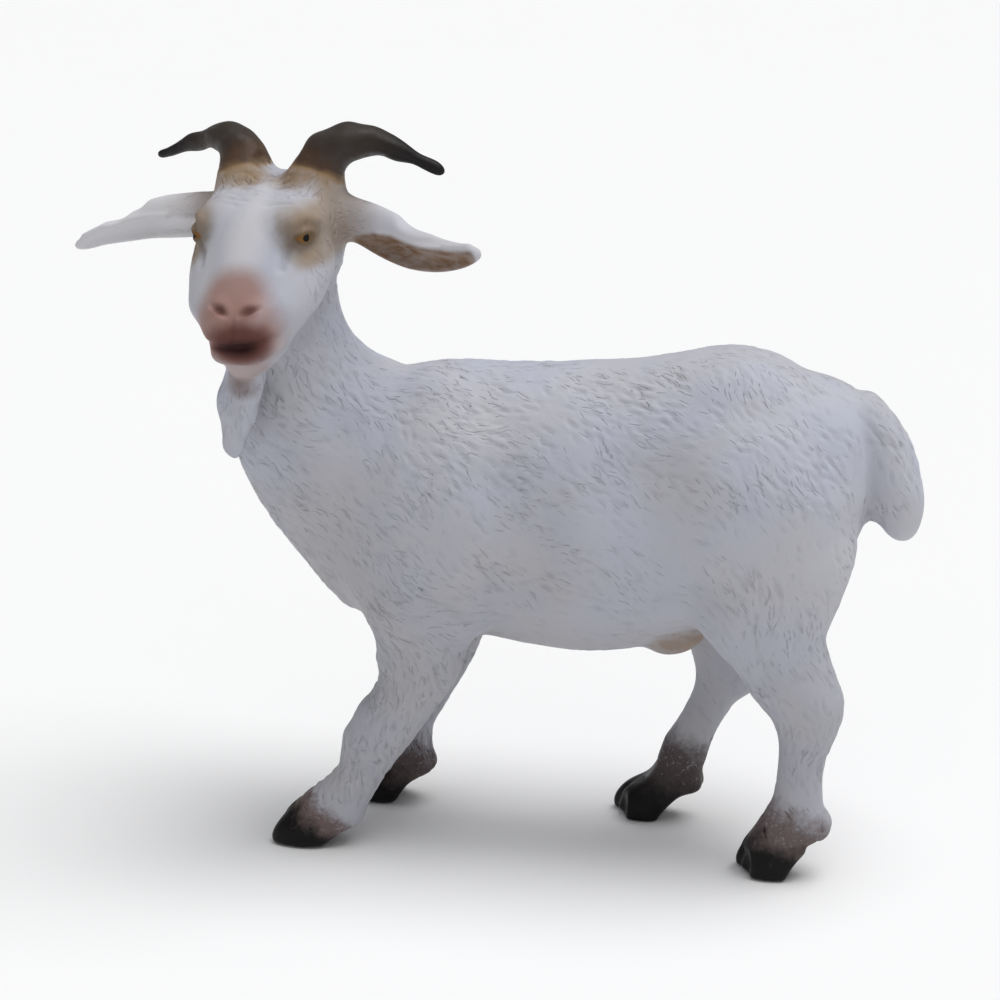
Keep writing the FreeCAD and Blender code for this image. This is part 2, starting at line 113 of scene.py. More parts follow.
HEAD_TURN, HEAD_TILT, FACE_SLOPE = radians(75), radians(4), radians(40)
AHEAD = np.array([-cos(HEAD_TURN), -sin(HEAD_TURN), 0.0])
LEVEL_LEFT = np.array([sin(HEAD_TURN), -cos(HEAD_TURN), 0.0])
LEFT = LEVEL_LEFT * cos(HEAD_TILT) + np.array([0, 0, sin(HEAD_TILT)])
UP = np.cross(AHEAD, LEFT)
ALONG = AHEAD * cos(FACE_SLOPE) - UP * sin(FACE_SLOPE)
OUT = AHEAD * sin(FACE_SLOPE) + UP * cos(FACE_SLOPE)
# The point midway between the eyes, from the top corner of the head's box.
EYES = node_box("head")[1] - np.array([9.0, 14.85, 5.61])
UPRIGHT = np.eye(3)


def tilted(angle):
    """Upright axes, as rows, turned about the y axis."""
    return np.array([[cos(angle), 0, sin(angle)], [0, 1, 0], [-sin(angle), 0, cos(angle)]])


def face(along, out, left=0.0):
    """A point given along the face, out of it and to the head's left, from the eyes."""
    return EYES + ALONG * along + OUT * out + LEFT * left


def head(ahead, left, up):
    """A point given level ahead, to the head's left and up, from the eyes."""
    return EYES + AHEAD * ahead + LEFT * left + UP * up


NECK_POINT = np.array([-24.42, 1.14, 64.1])  # on the seam between the neck and the head
NECK_NORMAL = np.array([-0.15, -0.6, 0.79])


# ---- distance fields


def smooth_min(a, b, blend):
    h = np.maximum(blend - np.abs(a - b), 0.0)
    return np.minimum(a, b) - h * h / (4 * blend)


def smooth_max(a, b, blend):
    return -smooth_min(-a, -b, blend)


def ellipsoid(centre, radii, axes=UPRIGHT):
    """Distance to an ellipsoid with those axes as rows, as a function of a block."""
    axes, radii = np.array(axes, dtype=float), np.array(radii, dtype=float)

    def distance(x, y, z):
        x, y, z = x - centre[0], y - centre[1], z - centre[2]
        near = far = 0.0
        for axis, radius in zip(axes, radii):
            along = x * axis[0] + y * axis[1] + z * axis[2]
            near = near + (along / radius) ** 2
            far = far + (along / radius**2) ** 2
        near, far = np.sqrt(near), np.sqrt(far)
        return near * (near - 1) / np.maximum(far, 1e-6)

    reach = float(max(radii))
    return distance, np.array(centre) - reach, np.array(centre) + reach


def cord(points, radii):
    """Distance to a run of round segments whose radius changes along them."""
    points = [np.array(p, dtype=float) for p in points]

    def distance(x, y, z):
        nearest = None
        for a, b, ra, rb in zip(points, points[1:], radii, radii[1:]):
            span = b - a
            share = (x - a[0]) * span[0] + (y - a[1]) * span[1] + (z - a[2]) * span[2]
            share = np.clip(share / max(span @ span, 1e-9), 0, 1)
            dx, dy, dz = (c - a[i] - share * span[i] for i, c in enumerate((x, y, z)))
            d = np.sqrt(dx * dx + dy * dy + dz * dz) - (ra + share * (rb - ra))
            nearest = d if nearest is None else np.minimum(nearest, d)
        return nearest

    reach = max(radii)
    return distance, np.min(points, 0) - reach, np.max(points, 0) + reach


class Field:
    """Distances to a surface on a regular grid: negative inside, in millimetres."""

    def __init__(self, low, step, values):
        self.low, self.step, self.values = np.array(low, float), step, values

    def block(self, low, high):
        """The slices and the coordinates of the samples between two corners."""
        first = np.floor((np.maximum(low, self.low) - self.low) / self.step).astype(int)
        last = np.ceil((high - self.low) / self.step).astype(int) + 1
        last = np.minimum(last, self.values.shape)
        cut = tuple(slice(a, max(a, b)) for a, b in zip(first, last))
        x, y, z = (self.low[i] + self.step * np.arange(cut[i].start, cut[i].stop) for i in range(3))
        return cut, x[:, None, None], y[None, :, None], z[None, None, :]

    def shape(self, form, blend, join):
        distance, low, high = form
        cut, x, y, z = self.block(low - blend - 1.0, high + blend + 1.0)
        if self.values[cut].size:
            self.values[cut] = join(self.values[cut], distance(x, y, z), blend)

    def add(self, form, blend):
        self.shape(form, blend, smooth_min)

    def carve(self, form, blend):
        self.shape(form, blend, lambda a, b, k: smooth_max(a, -b, k))

    def sample(self, point):
        at = (np.asarray(point) - self.low) / self.step
        i = np.clip(np.floor(at).astype(int), 0, np.array(self.values.shape) - 2)
        f = at - i
        v = self.values[i[0] : i[0] + 2, i[1] : i[1] + 2, i[2] : i[2] + 2]
        for share in f:
            v = v[0] * (1 - share) + v[1] * share
        return float(v)

    def slope(self, point):
        point = np.asarray(point, float)
        steps = np.eye(3) * self.step
        return unit([self.sample(point + s) - self.sample(point - s) for s in steps])

    def snap(self, point, depth=0.0):
        """The nearest point of the surface, or one that deep under it."""
        point = np.array(point, float)
        for _ in range(12):
            point = point - self.slope(point) * (self.sample(point) + depth) * 0.9
        return point


def distances(points, faces, low, step, shape):
    """Signed distances to a closed mesh on a grid, known within the band."""
    local = np.ascontiguousarray((points - low) / step, dtype=np.float32)
    faces = np.ascontiguousarray(faces, dtype=np.uint32)
    kind = "triangles" if faces.shape[1] == 3 else "quads"
    grid = openvdb.FloatGrid.createLevelSetFromPolygons(local, halfWidth=BAND, **{kind: faces})
    values = np.empty(shape, dtype=np.float32)
    grid.copyToArray(values)
    return values * step


def skin(values, level=0.0):
    """The points, in samples, and the quads of the surface at that level."""
    grid = openvdb.FloatGrid(float(values.max()))
    grid.copyFromArray(np.ascontiguousarray(values, dtype=np.float32))
    points, quads = grid.convertToQuads(isovalue=level)
    return np.asarray(points, float), np.asarray(quads)


def read(items, name, width=1, kind=np.float32):
    """A value of every item of a mesh, or a row of values where the width says so."""
    values = np.empty(len(items) * width, kind)
    items.foreach_get(name, values)
    return values.reshape(-1, width) if width > 1 else values


def write(items, name, values, kind=np.float32):
    items.foreach_set(name, values.astype(kind).ravel())


def node_field(node, low, step, shape):
    """Signed distances to a node's solid on a grid."""
    mesh = frame["nodes"][node].data
    mesh.calc_loop_triangles()
    points = read(mesh.vertices, "co", 3) / MM
    faces = read(mesh.loop_triangles, "vertices", 3, np.int32)
    return distances(points, faces, low, step, shape)


def close_creases(field, radius):
    """Fills creases and gaps narrower than about that radius and leaves the rest."""
    points, quads = skin(field.values, radius)
    points = field.low + points * field.step
    grown = distances(points, quads, field.low, field.step, field.values.shape)
    field.values = grown + radius


def blur(values, sigma):
    """A Gaussian blur, sigma in samples."""
    reach = int(np.ceil(2.5 * sigma))
    weights = np.exp(-0.5 * (np.arange(-reach, reach + 1) / sigma) ** 2)
    weights /= weights.sum()
    for axis in range(3):
        padded = np.pad(values, [(reach, reach) if i == axis else (0, 0) for i in range(3)], "edge")
        size = values.shape[axis]
        values = sum(
            w * padded[tuple(slice(k, k + size) if i == axis else slice(None) for i in range(3))]
            for k, w in enumerate(weights)
        )
    return values.astype(np.float32)


def halve_step(field, low, high):
    """A copy of part of a field with twice as many samples along each axis."""
    cut, *_ = field.block(np.array(low, float), np.array(high, float))
    values = field.values[cut]
    start = field.low + field.step * np.array([s.start for s in cut])
    for axis in range(3):
        v = np.moveaxis(values, axis, 0)
        ends = np.concatenate([v[:1], v, v[-1:]])
        between = (9 * (v[:-1] + v[1:]) - ends[:-3] - ends[3:]) / 16
        fine = np.empty((2 * len(v) - 1, *v.shape[1:]), np.float32)
        fine[0::2], fine[1::2] = v, between
        values = np.moveaxis(fine, 0, axis)
    return Field(start, field.step / 2, np.ascontiguousarray(values))


# ---- body


def shape_torso(field):
    """The muscles and folds of the barrel, which are larger than its tooled hair."""
    low, high = node_box("torso")
    middle, half = (low[1] + high[1]) / 2, (high[1] - low[1]) / 2
    rump, back = high[0], 58.6
    for side in (-1, 1):
        y = middle + side * half
        # shoulder blade, upper arm, haunch
        field.add(ellipsoid((-6.5, y - side * 4.4, 42), (6.5, 4.6, 11.5), tilted(-0.35)), 5.0)
        field.add(ellipsoid((-7.5, y - side * 3.7, 33), (5.6, 3.9, 6.5)), 4.0)
        field.add(ellipsoid((rump - 12.5, y - side * 4.6, 41), (8.5, 5.0, 12.5), tilted(0.3)), 5.0)
        # hollow behind the shoulder, flank
        field.carve(cord([(4.5, y + side * 3.0, 47), (6.5, y + side * 2.9, 36)], [3.2, 3.4]), 5.0)
        field.carve(cord([(19, y + side * 3.4, 50), (22.5, y + side * 3.1, 37)], [3.6, 3.6]), 5.0)
        # elbow and the fold from the belly to the thigh
        elbow = [(-1.0, y - side * 3.0, 30.5), (-3.0, y - side * 2.6, 35)]
        field.add(cord(elbow, [2.0, 2.6]), 3.0)
        fold = [(22, y - side * 1.0, 33.5), (26.5, y - side * 0.6, 28.5)]
        field.carve(cord(fold, [1.1, 0.6]), 2.5)
        # hip bone beside the spine
        field.add(ellipsoid((29, middle + side * 4.2, back - 1.0), (5, 2.4, 2.4)), 3.0)
        # groove down the side of the neck
        neck = [(-19.5, middle + side * 8.2 - 1.0, 65), (-16.5, middle + side * 10.4, 52)]
        field.carve(cord(neck, [1.1, 1.3]), 3.0)
    # furrow of the breast
    field.carve(cord([(-31, middle, 44), (-24.5, middle, 33)], [0.9, 0.9]), 3.0)


def shape_hocks(field):
    """The hocks, which the seam between the torso and the hind legs passes over."""
    for name, back in (("hindleg_left", 2.2), ("hindleg_right", 3.0)):
        low, high = node_box(name)
        y, hock = (low[1] + high[1]) / 2, high[0] - back
        field.add(ellipsoid((hock - 0.4, y, 20.6), (1.9, 1.8, 3.6)), 3.0)
        field.add(cord([(hock - 1.5, y, 26.5), (hock - 1.1, y, 21.5)], [1.5, 1.7]), 3.0)


def waves(points, size, height, seed):
    """Soft irregular heights, as a hand leaves them, for each point."""
    shift = Vector((seed * 7.3, seed * 3.1, seed * 5.7))
    return np.array([noise.noise(Vector(p) / size + shift) for p in points]) * height


def whole_body():
    """Torso, head, legs, tail and udder merged into one soft field."""
    low = millimetres(CAD_BOX[0]) - MARGIN
    shape = np.ceil((millimetres(CAD_BOX[1]) + MARGIN - low) / STEP).astype(int)
    parts = [node_field(node, low, STEP, shape) for node in BODY_NODES]
    field = Field(low, STEP, np.minimum.reduce(parts))
    close_creases(field, 2.4)
    extra = [node_field(node, low, STEP, shape) for node in ("tail", "udder")]
    field.values = np.minimum.reduce([field.values, *extra])
    close_creases(field, 0.9)
    shape_torso(field)
    shape_hocks(field)
    field.values = blur(field.values, 1.8)
    return field


# ---- head

FACE_AXES = np.array([ALONG, OUT, LEFT])
HEAD_AXES = np.array([AHEAD, LEFT, UP])
EYE_OUT, EYE_ALONG, EYE_LEFT = 0.65, 0.6, 7.1
NOSE_LEFT, MOUTH_LEFT = 0.9, 1.5  # the nose and the mouth sit this far to the head's left
MOUTH_LINE = [(11.2, -4.2, 4.4), (12.4, -3.6, 3.4), (13.2, -3.3, 1.9), (13.4, -3.2, 0.2),
              (13.4, -3.1, -1.6), (12.6, -3.5, -3.6), (11.3, -4.1, -4.8)]


def on_face(field, spots, left=0.0):
    """The surface's nearest points to places along, out of and left of the face."""
    return [field.snap(face(along, out, aside + left)) for along, out, aside in spots]


def shape_muzzle(field):
    """Nose, nostrils, lips, mouth and chin."""
    for side in (-1, 1):
        wing = face(10.1, -1.5, NOSE_LEFT + side * 2.1)
        field.add(ellipsoid(wing, (1.6, 1.2, 1.4), FACE_AXES), 1.2)
        jowl = [face(0.5, -3.2, side * 5.4), face(7.0, -3.8, side * 4.3)]
        field.add(cord(jowl, [2.3, 2.2]), 2.5)
        jaw = face(14.6, -6.2, 1.0 + side * 8.3)
        field.carve(ellipsoid(jaw, (4.6, 4.8, 4.6), FACE_AXES), 3.0)
    field.add(cord([face(11.6, -8.2), head(3.1, -1.1, -16.2)], [1.6, 1.5]), 2.0)
    line = smooth_path(on_face(field, MOUTH_LINE, MOUTH_LEFT), 5)
    thick = np.interp(np.linspace(-1, 1, len(line)), [-1, -0.5, 0.5, 1], [0.22, 0.42, 0.42, 0.22])
    field.carve(cord(line, thick), 0.5)
    below = [(along + 0.1, out - 1.5, 0.8 * left) for along, out, left in MOUTH_LINE]
    lower_lip = smooth_path(on_face(field, below, MOUTH_LEFT), 3)
    field.add(cord(lower_lip, [0.35] * len(lower_lip)), 1.2)
    philtrum = on_face(field, [(11.3, -0.9, 0), (12.3, -1.5, 0), (13.1, -2.2, 0)], NOSE_LEFT)
    field.carve(cord(philtrum, [0.12, 0.2, 0.15]), 0.5)
    for side in (-1, 1):
        nostril = [
            field.snap(face(along, -0.7, NOSE_LEFT + side * left), depth)
            for along, left, depth in ((10.9, 0.9, 0.05), (10.4, 1.8, 0.22), (9.8, 2.9, 0.05))
        ]
        field.carve(cord(nostril, [0.28, 0.5, 0.25]), 0.4)


def smooth_path(points, pieces):
    """A Catmull-Rom curve through the points, with that many pieces between two."""
    points = [2 * points[0] - points[1], *points, 2 * points[-1] - points[-2]]
    path = []
    for a, b, c, d in zip(points, points[1:], points[2:], points[3:]):
        for s in np.arange(pieces) / pieces:
            bend = (2 * a - 5 * b + 4 * c - d) * s**2 + (3 * b - a - 3 * c + d) * s**3
            path.append(0.5 * (2 * b + (c - a) * s + bend))
    return [*path, points[-2]]


# Lift, radius, depth, reach and blend of the lids, which are raised around each eye, and
# of the folds above and below them, which are pressed in.
LIDS = [(0.72, 0.36, 0.02, 1.7, 0.3), (-0.62, 0.30, 0.02, 1.7, 0.3)]
EYE_FOLDS = [
    (1.75, 0.2, -0.08, 2.3, 0.5),
    (-1.7, 0.16, -0.06, 1.9, 0.4),
    (-2.5, 0.15, -0.04, 1.7, 0.4),
]
DROOP = 0.15  # how far lids and folds drop towards the front corner


def shape_eyes(field):
    """Sockets, eyeballs, lids and the folds around them. Returns where each eye is, with
    its directions to the front, up and out."""
    eyes = []
    for side in (-1, 1):
        seat = field.snap(face(EYE_ALONG, EYE_OUT, side * EYE_LEFT))
        out = field.slope(seat)
        rise = unit(UP - out * (UP @ out))
        front = np.cross(out, rise) * side
        axes = (front, rise, out)
        field.carve(ellipsoid(seat + out * 1.25, (2.0, 1.2, 1.3), axes), 1.1)
        field.add(ellipsoid(seat - out * 1.35 + front * 0.2, (1.7, 1.3, 1.5), axes), 0.2)

        def beside(spots):
            return [field.snap(seat + front * a + rise * b) for a, b in spots]

        def fold(lift, radius, depth, reach):
            """A run across the eye that bows by its lift and thins out at both ends."""
            spots = [
                seat + front * a * reach + rise * (lift * (1 - a * a) - DROOP * a)
                for a in np.linspace(-1, 1, 7)
            ]
            path = smooth_path([field.snap(spot, depth) for spot in spots], 3)
            return cord(path, radius * (1 - 0.55 * np.linspace(-1, 1, len(path)) ** 2))

        for *run, blend in LIDS:
            field.add(fold(*run), blend)
        for *run, blend in EYE_FOLDS:
            field.carve(fold(*run), blend)
        brow = beside([(-2.2, 1.9), (0, 2.7), (2.2, 2.6)])
        field.add(cord(brow, [0.05, 0.12, 0.1]), 1.0)
        tear = beside([(2.1, -0.4), (3.0, -1.4), (3.5, -2.8)])
        field.carve(cord(tear, [0.25, 0.3, 0.15]), 0.9)
        eyes.append((field.snap(seat), front, rise, out))
    return eyes


def shape_skull(field):
    """Temples, brows, cheekbones, roots of the horns and wrinkles of the forehead."""
    for side in (-1, 1):
        temple = [(-5.5, -0.2, 4.0), (-4.0, 0.4, 3.8), (-1.3, 0.8, 3.6)]
        field.add(cord([face(a, b, side * c) for a, b, c in temple], [1.6, 1.6, 1.5]), 2.0)
        field.add(ellipsoid(face(-3.6, -0.9, side * 6.0), (2.4, 1.6, 1.6), FACE_AXES), 2.5)
        field.add(ellipsoid(face(2.8, -4.6, side * 5.2), (4.2, 2.6, 2.0), FACE_AXES), 2.5)
        horn = [head(-6.6, side * 3.2, 1.5), head(-6.9, side * 4.5, 4.6)]
        field.add(cord(horn, [2.4, 3.1]), 2.2)
        for row in range(5):
            t, lean = -6.6 + row * 1.25, 0.7 - 0.12 * row
            spots = [(t, 1.5), (t - lean, 2.6), (t - 1.6 * lean, 3.7)]
            wrinkle = smooth_path(on_face(field, [(a, 1.0, side * b) for a, b in spots]), 3)
            field.carve(cord(wrinkle, [0.06, 0.1, 0.13, 0.14, 0.12, 0.1, 0.06]), 0.35)


# Ahead, left and up of the middle of the hollow of each ear, from root to tip.
EAR_HOLLOWS = {
    "ear_left": [(-5.3, 10.4, -2.3), (-4.6, 13.2, -2.3), (-3.9, 16.2, -3.0), (-3.2, 19.4, -3.4),
                 (-2.8, 22.8, -3.3), (-2.4, 25.4, -2.7)],
    "ear_right": [(-5.3, -10.5, -0.9), (-4.6, -14.6, -0.8), (-3.9, -17.8, -1.1),
                  (-3.2, -20.9, -1.8), (-2.7, -23.4, -2.6), (-2.4, -25.0, -3.1)],
}


def ear_hollow(name):
    """The trough of an ear's inner face."""
    path = smooth_path([head(*row) for row in EAR_HOLLOWS[name]], 4)
    radii = np.interp(np.linspace(0, 1, len(path)), [0, 0.3, 0.75, 1], [0.9, 1.6, 1.2, 0.6])
    return cord(path, radii)


def shape_ears(field):
    """Hollows the inner face of each ear, raises its fold and thins its lower edge."""
    for name in EAR_HOLLOWS:
        field.carve(ear_hollow(name), 0.5)
        fold = [head(a - 0.6, b, c + 1.7) for a, b, c in EAR_HOLLOWS[name][1:]]
        spots = smooth_path([field.snap(spot) for spot in fold], 3)
        field.add(cord(spots, [0.3] * len(spots)), 0.5)
    for left, up, wide in ((-19.3, 2.6, 2.0), (-21.3, 1.6, 2.0), (18.6, 1.5, 2.8)):
        field.carve(ellipsoid(head(-4.0, left, up), (4.0, wide, 1.5), HEAD_AXES), 0.8)


def whole_head(body):
    """The head and the neck at the finer step, with ears and horns merged in."""
    skull = node_box("head")[0]
    low = np.array([node_box("ear_right")[0][0], skull[1], skull[2] - 1.5]) - 3.0
    high = [node_box("ear_left")[1][0], node_box("horn_right")[1][1], node_box("horn_left")[1][2]]
    field = halve_step(body, low, np.array(high) + 3.0)
    shape_skull(field)
    shape_muzzle(field)
    eyes = shape_eyes(field)
    for nodes, blend in ((tuple(EAR_HOLLOWS), 2.6), (("horn_left", "horn_right"), 1.5)):
        extra = [node_field(node, field.low, field.step, field.values.shape) for node in nodes]
        extra = blur(np.minimum(*extra), 1.6)
        field.values = smooth_min(field.values, extra, blend).astype(np.float32)
    shape_ears(field)
    field.values = blur(field.values, 0.9)
    return field, eyes


# ---- legs

# Of each foot: how far its near and far claws stand back from the toe; how far back and
# how high its dewclaws sit; how far back the hollow of its heel is, its half length and
# its height.
FEET = {
    "foreleg_left": ((0.0, 0.6), (8.6, 3.9), (10.8, 4.6, 3.0)),
    "foreleg_right": ((0.3, 0.0), (8.0, 4.4), (10.0, 5.0, 4.6)),
    "hindleg_left": ((1.9, 0.0), (9.4, 6.4), (9.6, 3.9, 4.6)),
    "hindleg_right": ((1.3, 0.0), (9.2, 4.4), (10.2, 5.0, 4.2)),
}
# How far behind the toe each knee is.
KNEES = {"foreleg_left": 10.0, "foreleg_right": 6.9}
# How far behind the toe and how high the hollow in front of each hind shin is, and its size.
SHINS = {"hindleg_left": (-1.2, 9.0, (3.5, 5.0, 5.0)), "hindleg_right": (1.2, 8.4, (4.2, 5.0, 4.3))}


def shape_leg(field, name):
    """Knee or shin, dewclaws, heel, and two claws parted by a cleft."""
    low, high = node_box(name)
    toe, y = low[0], (low[1] + high[1]) / 2
    claws, (heel, rise), (back, length, height) = FEET[name]
    if name in KNEES:
        knee = toe + KNEES[name]
        field.add(ellipsoid((knee + 1.9, y, 15.0), (1.9, 2.2, 3.0)), 2.2)
    else:
        ahead, level, radii = SHINS[name]
        field.carve(ellipsoid((toe + ahead, y, level), radii), 1.5)
    if name == "foreleg_left":
        shin = [(toe + 10.2, y, 13.5), (toe + 9.8, y, 8.9), (toe + 5.8, y, 4.9)]
        field.add(cord(shin, [1.9, 2.0, 1.8]), 1.5)
    for side, behind in zip((-1, 1), claws):
        claw = (toe + behind + 3.5, y + side * 1.55, 1.7)
        field.add(ellipsoid(claw, (3.9, 1.6, 2.5), tilted(0.42)), 0.7)
        field.add(ellipsoid((toe + heel, y + side * 1.0, rise), (1.5, 1.0, 1.4)), 1.8)
    field.carve(ellipsoid((toe + back, y, -0.6), (length, 5.0, height)), 1.0)
    if name in SHINS:
        field.carve(ellipsoid((toe + 0.1, y - 2.0, 1.6), (1.8, 1.5, 2.9)), 0.6)
    split = [(toe - 0.6, y, 0.2), (toe + 0.4, y, 2.4), (toe + 2.2, y, 4.6)]
    field.carve(cord(split, [1.0, 0.75, 0.3]), 0.5)
    field.carve(cord([(toe - 0.5, y, -0.4), (toe + 6.0, y, -0.4)], [0.9, 0.7]), 0.5)
    ground = (np.arange(field.values.shape[2]) * field.step + field.low[2])[None, None, :]
    field.values = smooth_max(field.values, -ground, 0.35).astype(np.float32)


def lower_legs(body):
    low = np.min([node_box(leg)[0] for leg in LEGS], 0) - 3.0
    high = np.max([node_box(leg)[1] for leg in LEGS], 0) + 3.0
    field = halve_step(body, low, np.array([high[0], high[1], node_box("torso")[0][2] + 2.0]))
    for leg in LEGS:
        shape_leg(field, leg)
    field.values = blur(field.values, 0.8)
    return field


# ---- surfaces


class Skin:
    """A meshed surface: points in millimetres, outward quads, and values per point."""

    def __init__(self, field):
        points, self.quads = skin(field.values)
        self.points = field.low + points * field.step
        if np.sum(self.points[self.quads].mean(1) * self.turns()) < 0:
            self.quads = self.quads[:, ::-1]
        self.values = {}
        self.find_normals()

    def turns(self):
        """The normal of each quad, as long as twice its area."""
        corners = self.points[self.quads]
        return np.cross(corners[:, 2] - corners[:, 0], corners[:, 3] - corners[:, 1])

    def find_normals(self):
        turns = self.turns()
        total = np.empty_like(self.points)
        for axis in range(3):
            weights = np.repeat(turns[:, axis], 4)
            total[:, axis] = np.bincount(self.quads.ravel(), weights, len(self.points))
        self.normals = total / np.maximum(np.linalg.norm(total, axis=1), 1e-9)[:, None]

    def move(self, heights):
        self.points = self.points + self.normals * heights[:, None]


def sampled(field, points):
    """Trilinear values of a field at many points."""
    at = (points - field.low) / field.step
    cell = np.clip(np.floor(at).astype(int), 0, np.array(field.values.shape) - 2)
    share = at - cell
    total = 0.0
    for corner in np.ndindex(2, 2, 2):
        weight = np.prod(np.where(np.array(corner) == 1, share, 1 - share), axis=1)
        index = cell + np.array(corner)
        total = total + weight * field.values[index[:, 0], index[:, 1], index[:, 2]]
    return total


def hollows(field, points):
    """How far each point lies in a hollow: 0 on a plain surface, near 1 in a crease."""
    skip, width = 2, 1.1
    coarse = np.clip(field.values[::skip, ::skip, ::skip], -1.5, 1.5)
    step = field.step * skip
    wide = Field(field.low, step, blur(coarse, width / step))
    return np.clip(-sampled(wide, points) * 2.2, -1, 1)


# ---- tooled hair

HAIR_LENGTH = (1.4, 3.0)
HAIR_WIDTH = 0.26
HAIR_DEPTH = 0.085
HAIR_TRIES, HAIR_SEED = 15000, 11


def fade(x, low, high):
    x = np.clip((x - low) / (high - low), 0, 1)
    return x * x * (3 - 2 * x)


def head_places(points):
    """How far each point is ahead, left and up of the eyes, and its share of the head."""
    local = points - EYES
    ahead, left, up = local @ AHEAD, local @ LEFT, local @ UP
    on_head = fade((points - NECK_POINT) @ unit(NECK_NORMAL), -1.0, 4.0) * fade(ahead, -22, -14)
    return ahead, left, up, on_head


def flow_of(points):
    """The direction that the hair lies in, for each point."""
    x, z = points[:, 0], points[:, 2]
    neck = fade(z, 50, 60) * fade(-x, 10, 15)
    legs = fade(-z, -30, -22)
    haunch = fade(x, 22, 34) * (1 - legs)
    lean = radians(30) + neck * radians(38) + legs * radians(48) + haunch * radians(26)
    swirl = [noise.noise(Vector(p) / 7.0) for p in points]
    lean = lean + np.array(swirl) * radians(45)
    body = np.stack([np.cos(lean), np.zeros_like(x), -np.sin(lean)], 1)
    ahead, left, up, on_head = head_places(points)
    side = np.sign(left)[:, None]
    brow = UP * 0.8 + LEFT * side * 0.5 + AHEAD * np.array(swirl)[:, None]
    jaw = -UP * 0.8 - AHEAD * 0.35
    ear = LEFT * side - UP * 0.15
    crown = fade(up, -3, 0)[:, None]
    away = fade(np.abs(left), 7.0, 9.0)[:, None] * crown
    crest = (1 - away) * (brow * crown + jaw * (1 - crown)) + away * ear
    share = on_head[:, None]
    return body * (1 - share) + crest * share


def hair_density(points):
    """How thickly the hair is tooled: the face, the horns and the hooves have none."""
    x, z = points[:, 0], points[:, 2]
    ahead, left, up, on_head = head_places(points)
    forehead = fade(-ahead, -0.5, 3.0) * fade(up, -1.5, 1.5) * fade(-np.abs(left), -8.5, -6.5)
    behind = fade(-ahead, 2.5, 6.5) * fade(-np.abs(left), -9, -7) * fade(-up, -6, -4)
    ears = fade(np.abs(left), 7.0, 8.5) * fade(-up, -4.0, -2.5)
    ears = ears * (0.14 + 0.6 * fade(-np.abs(left), -16, -9))
    horns = fade(up, 5.6, 6.6) * fade(np.abs(left), 1.5, 3.0)
    face_share = np.maximum.reduce([forehead * 0.9, behind * 0.7, ears]) * (1 - horns)
    belly = fade(-z, -36, -30) * fade(x, -2, 2) * fade(-x, -34, -30)
    patches = np.array([noise.noise(Vector(p) / 6.5 + Vector((9, 2, 4))) for p in points])
    front, high = fade(-x, -16, 4), fade(z, 40, 52)
    density = (0.34 + 0.14 * front + 0.10 * high + 0.65 * patches) * (1 - 0.5 * belly)
    density = np.maximum(density, 0.10) + 0.1 * fade(-z, -30, -16) * fade(z, 3, 7)
    density = density * (1 - on_head) + face_share * on_head
    return np.clip(density, 0.0, 1.0) * fade(z, 3.5, 7.0)


def plan_hair(surface):
    """Strokes of a modelling tool: middle, direction, across, length, bend and depth."""
    rng = np.random.default_rng(HAIR_SEED)
    picks = rng.choice(len(surface.points), HAIR_TRIES, replace=False)
    keep = picks[rng.random(HAIR_TRIES) < hair_density(surface.points[picks])]
    points, normals = surface.points[keep], surface.normals[keep]
    strokes = []
    for point, normal, way in zip(points, normals, flow_of(points)):
        turn = rng.normal(0, radians(13))
        way = way - normal * (way @ normal)
        if np.linalg.norm(way) < 0.15:
            continue
        way = unit(way)
        side = np.cross(normal, way)
        way, side = way * cos(turn) + side * sin(turn), side * cos(turn) - way * sin(turn)
        length, depth = rng.uniform(*HAIR_LENGTH), HAIR_DEPTH * rng.uniform(0.5, 1.3)
        strokes.append((point, way, side, length, rng.uniform(-0.22, 0.22), depth))
    return strokes


def comb(surface, strokes):
    """Presses the strokes into a surface and notes how deep each point went."""
    tree = kdtree.KDTree(len(surface.points))
    for i, point in enumerate(surface.points):
        tree.insert(point, i)
    tree.balance()
    low, high = surface.points.min(0) - 2, surface.points.max(0) + 2
    height, groove = np.zeros((2, len(surface.points)))
    for point, way, side, length, bend, depth in strokes:
        if np.any(point < low) or np.any(point > high):
            continue
        near = [found[1] for found in tree.find_range(point, length * 0.62)]
        if not near:
            continue
        offset = surface.points[near] - point
        u = offset @ way
        v = (offset @ side - bend * u * u) / HAIR_WIDTH
        window = np.clip(1 - (2 * u / length) ** 2, 0, 1)
        cut = window * np.exp(-v * v)
        lips = window * (np.exp(-((v - 1.9) ** 2)) + np.exp(-((v + 1.9) ** 2)))
        height[near] += depth * (0.42 * lips - cut)
        groove[near] = np.maximum(groove[near], cut * depth / HAIR_DEPTH)
    surface.move(np.clip(height, -0.32, 0.2))
    surface.values["groove"] = groove


# ---- pieces


def mesh_of(surface):
    """A bmesh of the surface with its values and its unbroken normals on the points."""
    mesh = bpy.data.meshes.new("surface")
    mesh.vertices.add(len(surface.points))
    write(mesh.vertices, "co", surface.points)
    mesh.loops.add(surface.quads.size)
    write(mesh.loops, "vertex_index", surface.quads, np.int32)
    mesh.polygons.add(len(surface.quads))
    write(mesh.polygons, "loop_start", np.arange(0, surface.quads.size, 4), np.int32)
    mesh.update(calc_edges=True)
    for name, values in {**surface.values, "smooth_normal": surface.normals}.items():
        kind, field = ("FLOAT", "value") if values.ndim == 1 else ("FLOAT_VECTOR", "vector")
        write(mesh.attributes.new(name, kind, "POINT").data, field, values)
    made = bmesh.new()
    made.from_mesh(mesh)
    bpy.data.meshes.remove(mesh)
    return made


def anywhere(centre):
    return True


def within(low, high):
    """A test for the points of a box."""
    return lambda centre: all(a <= v <= b for a, v, b in zip(low, centre, high))


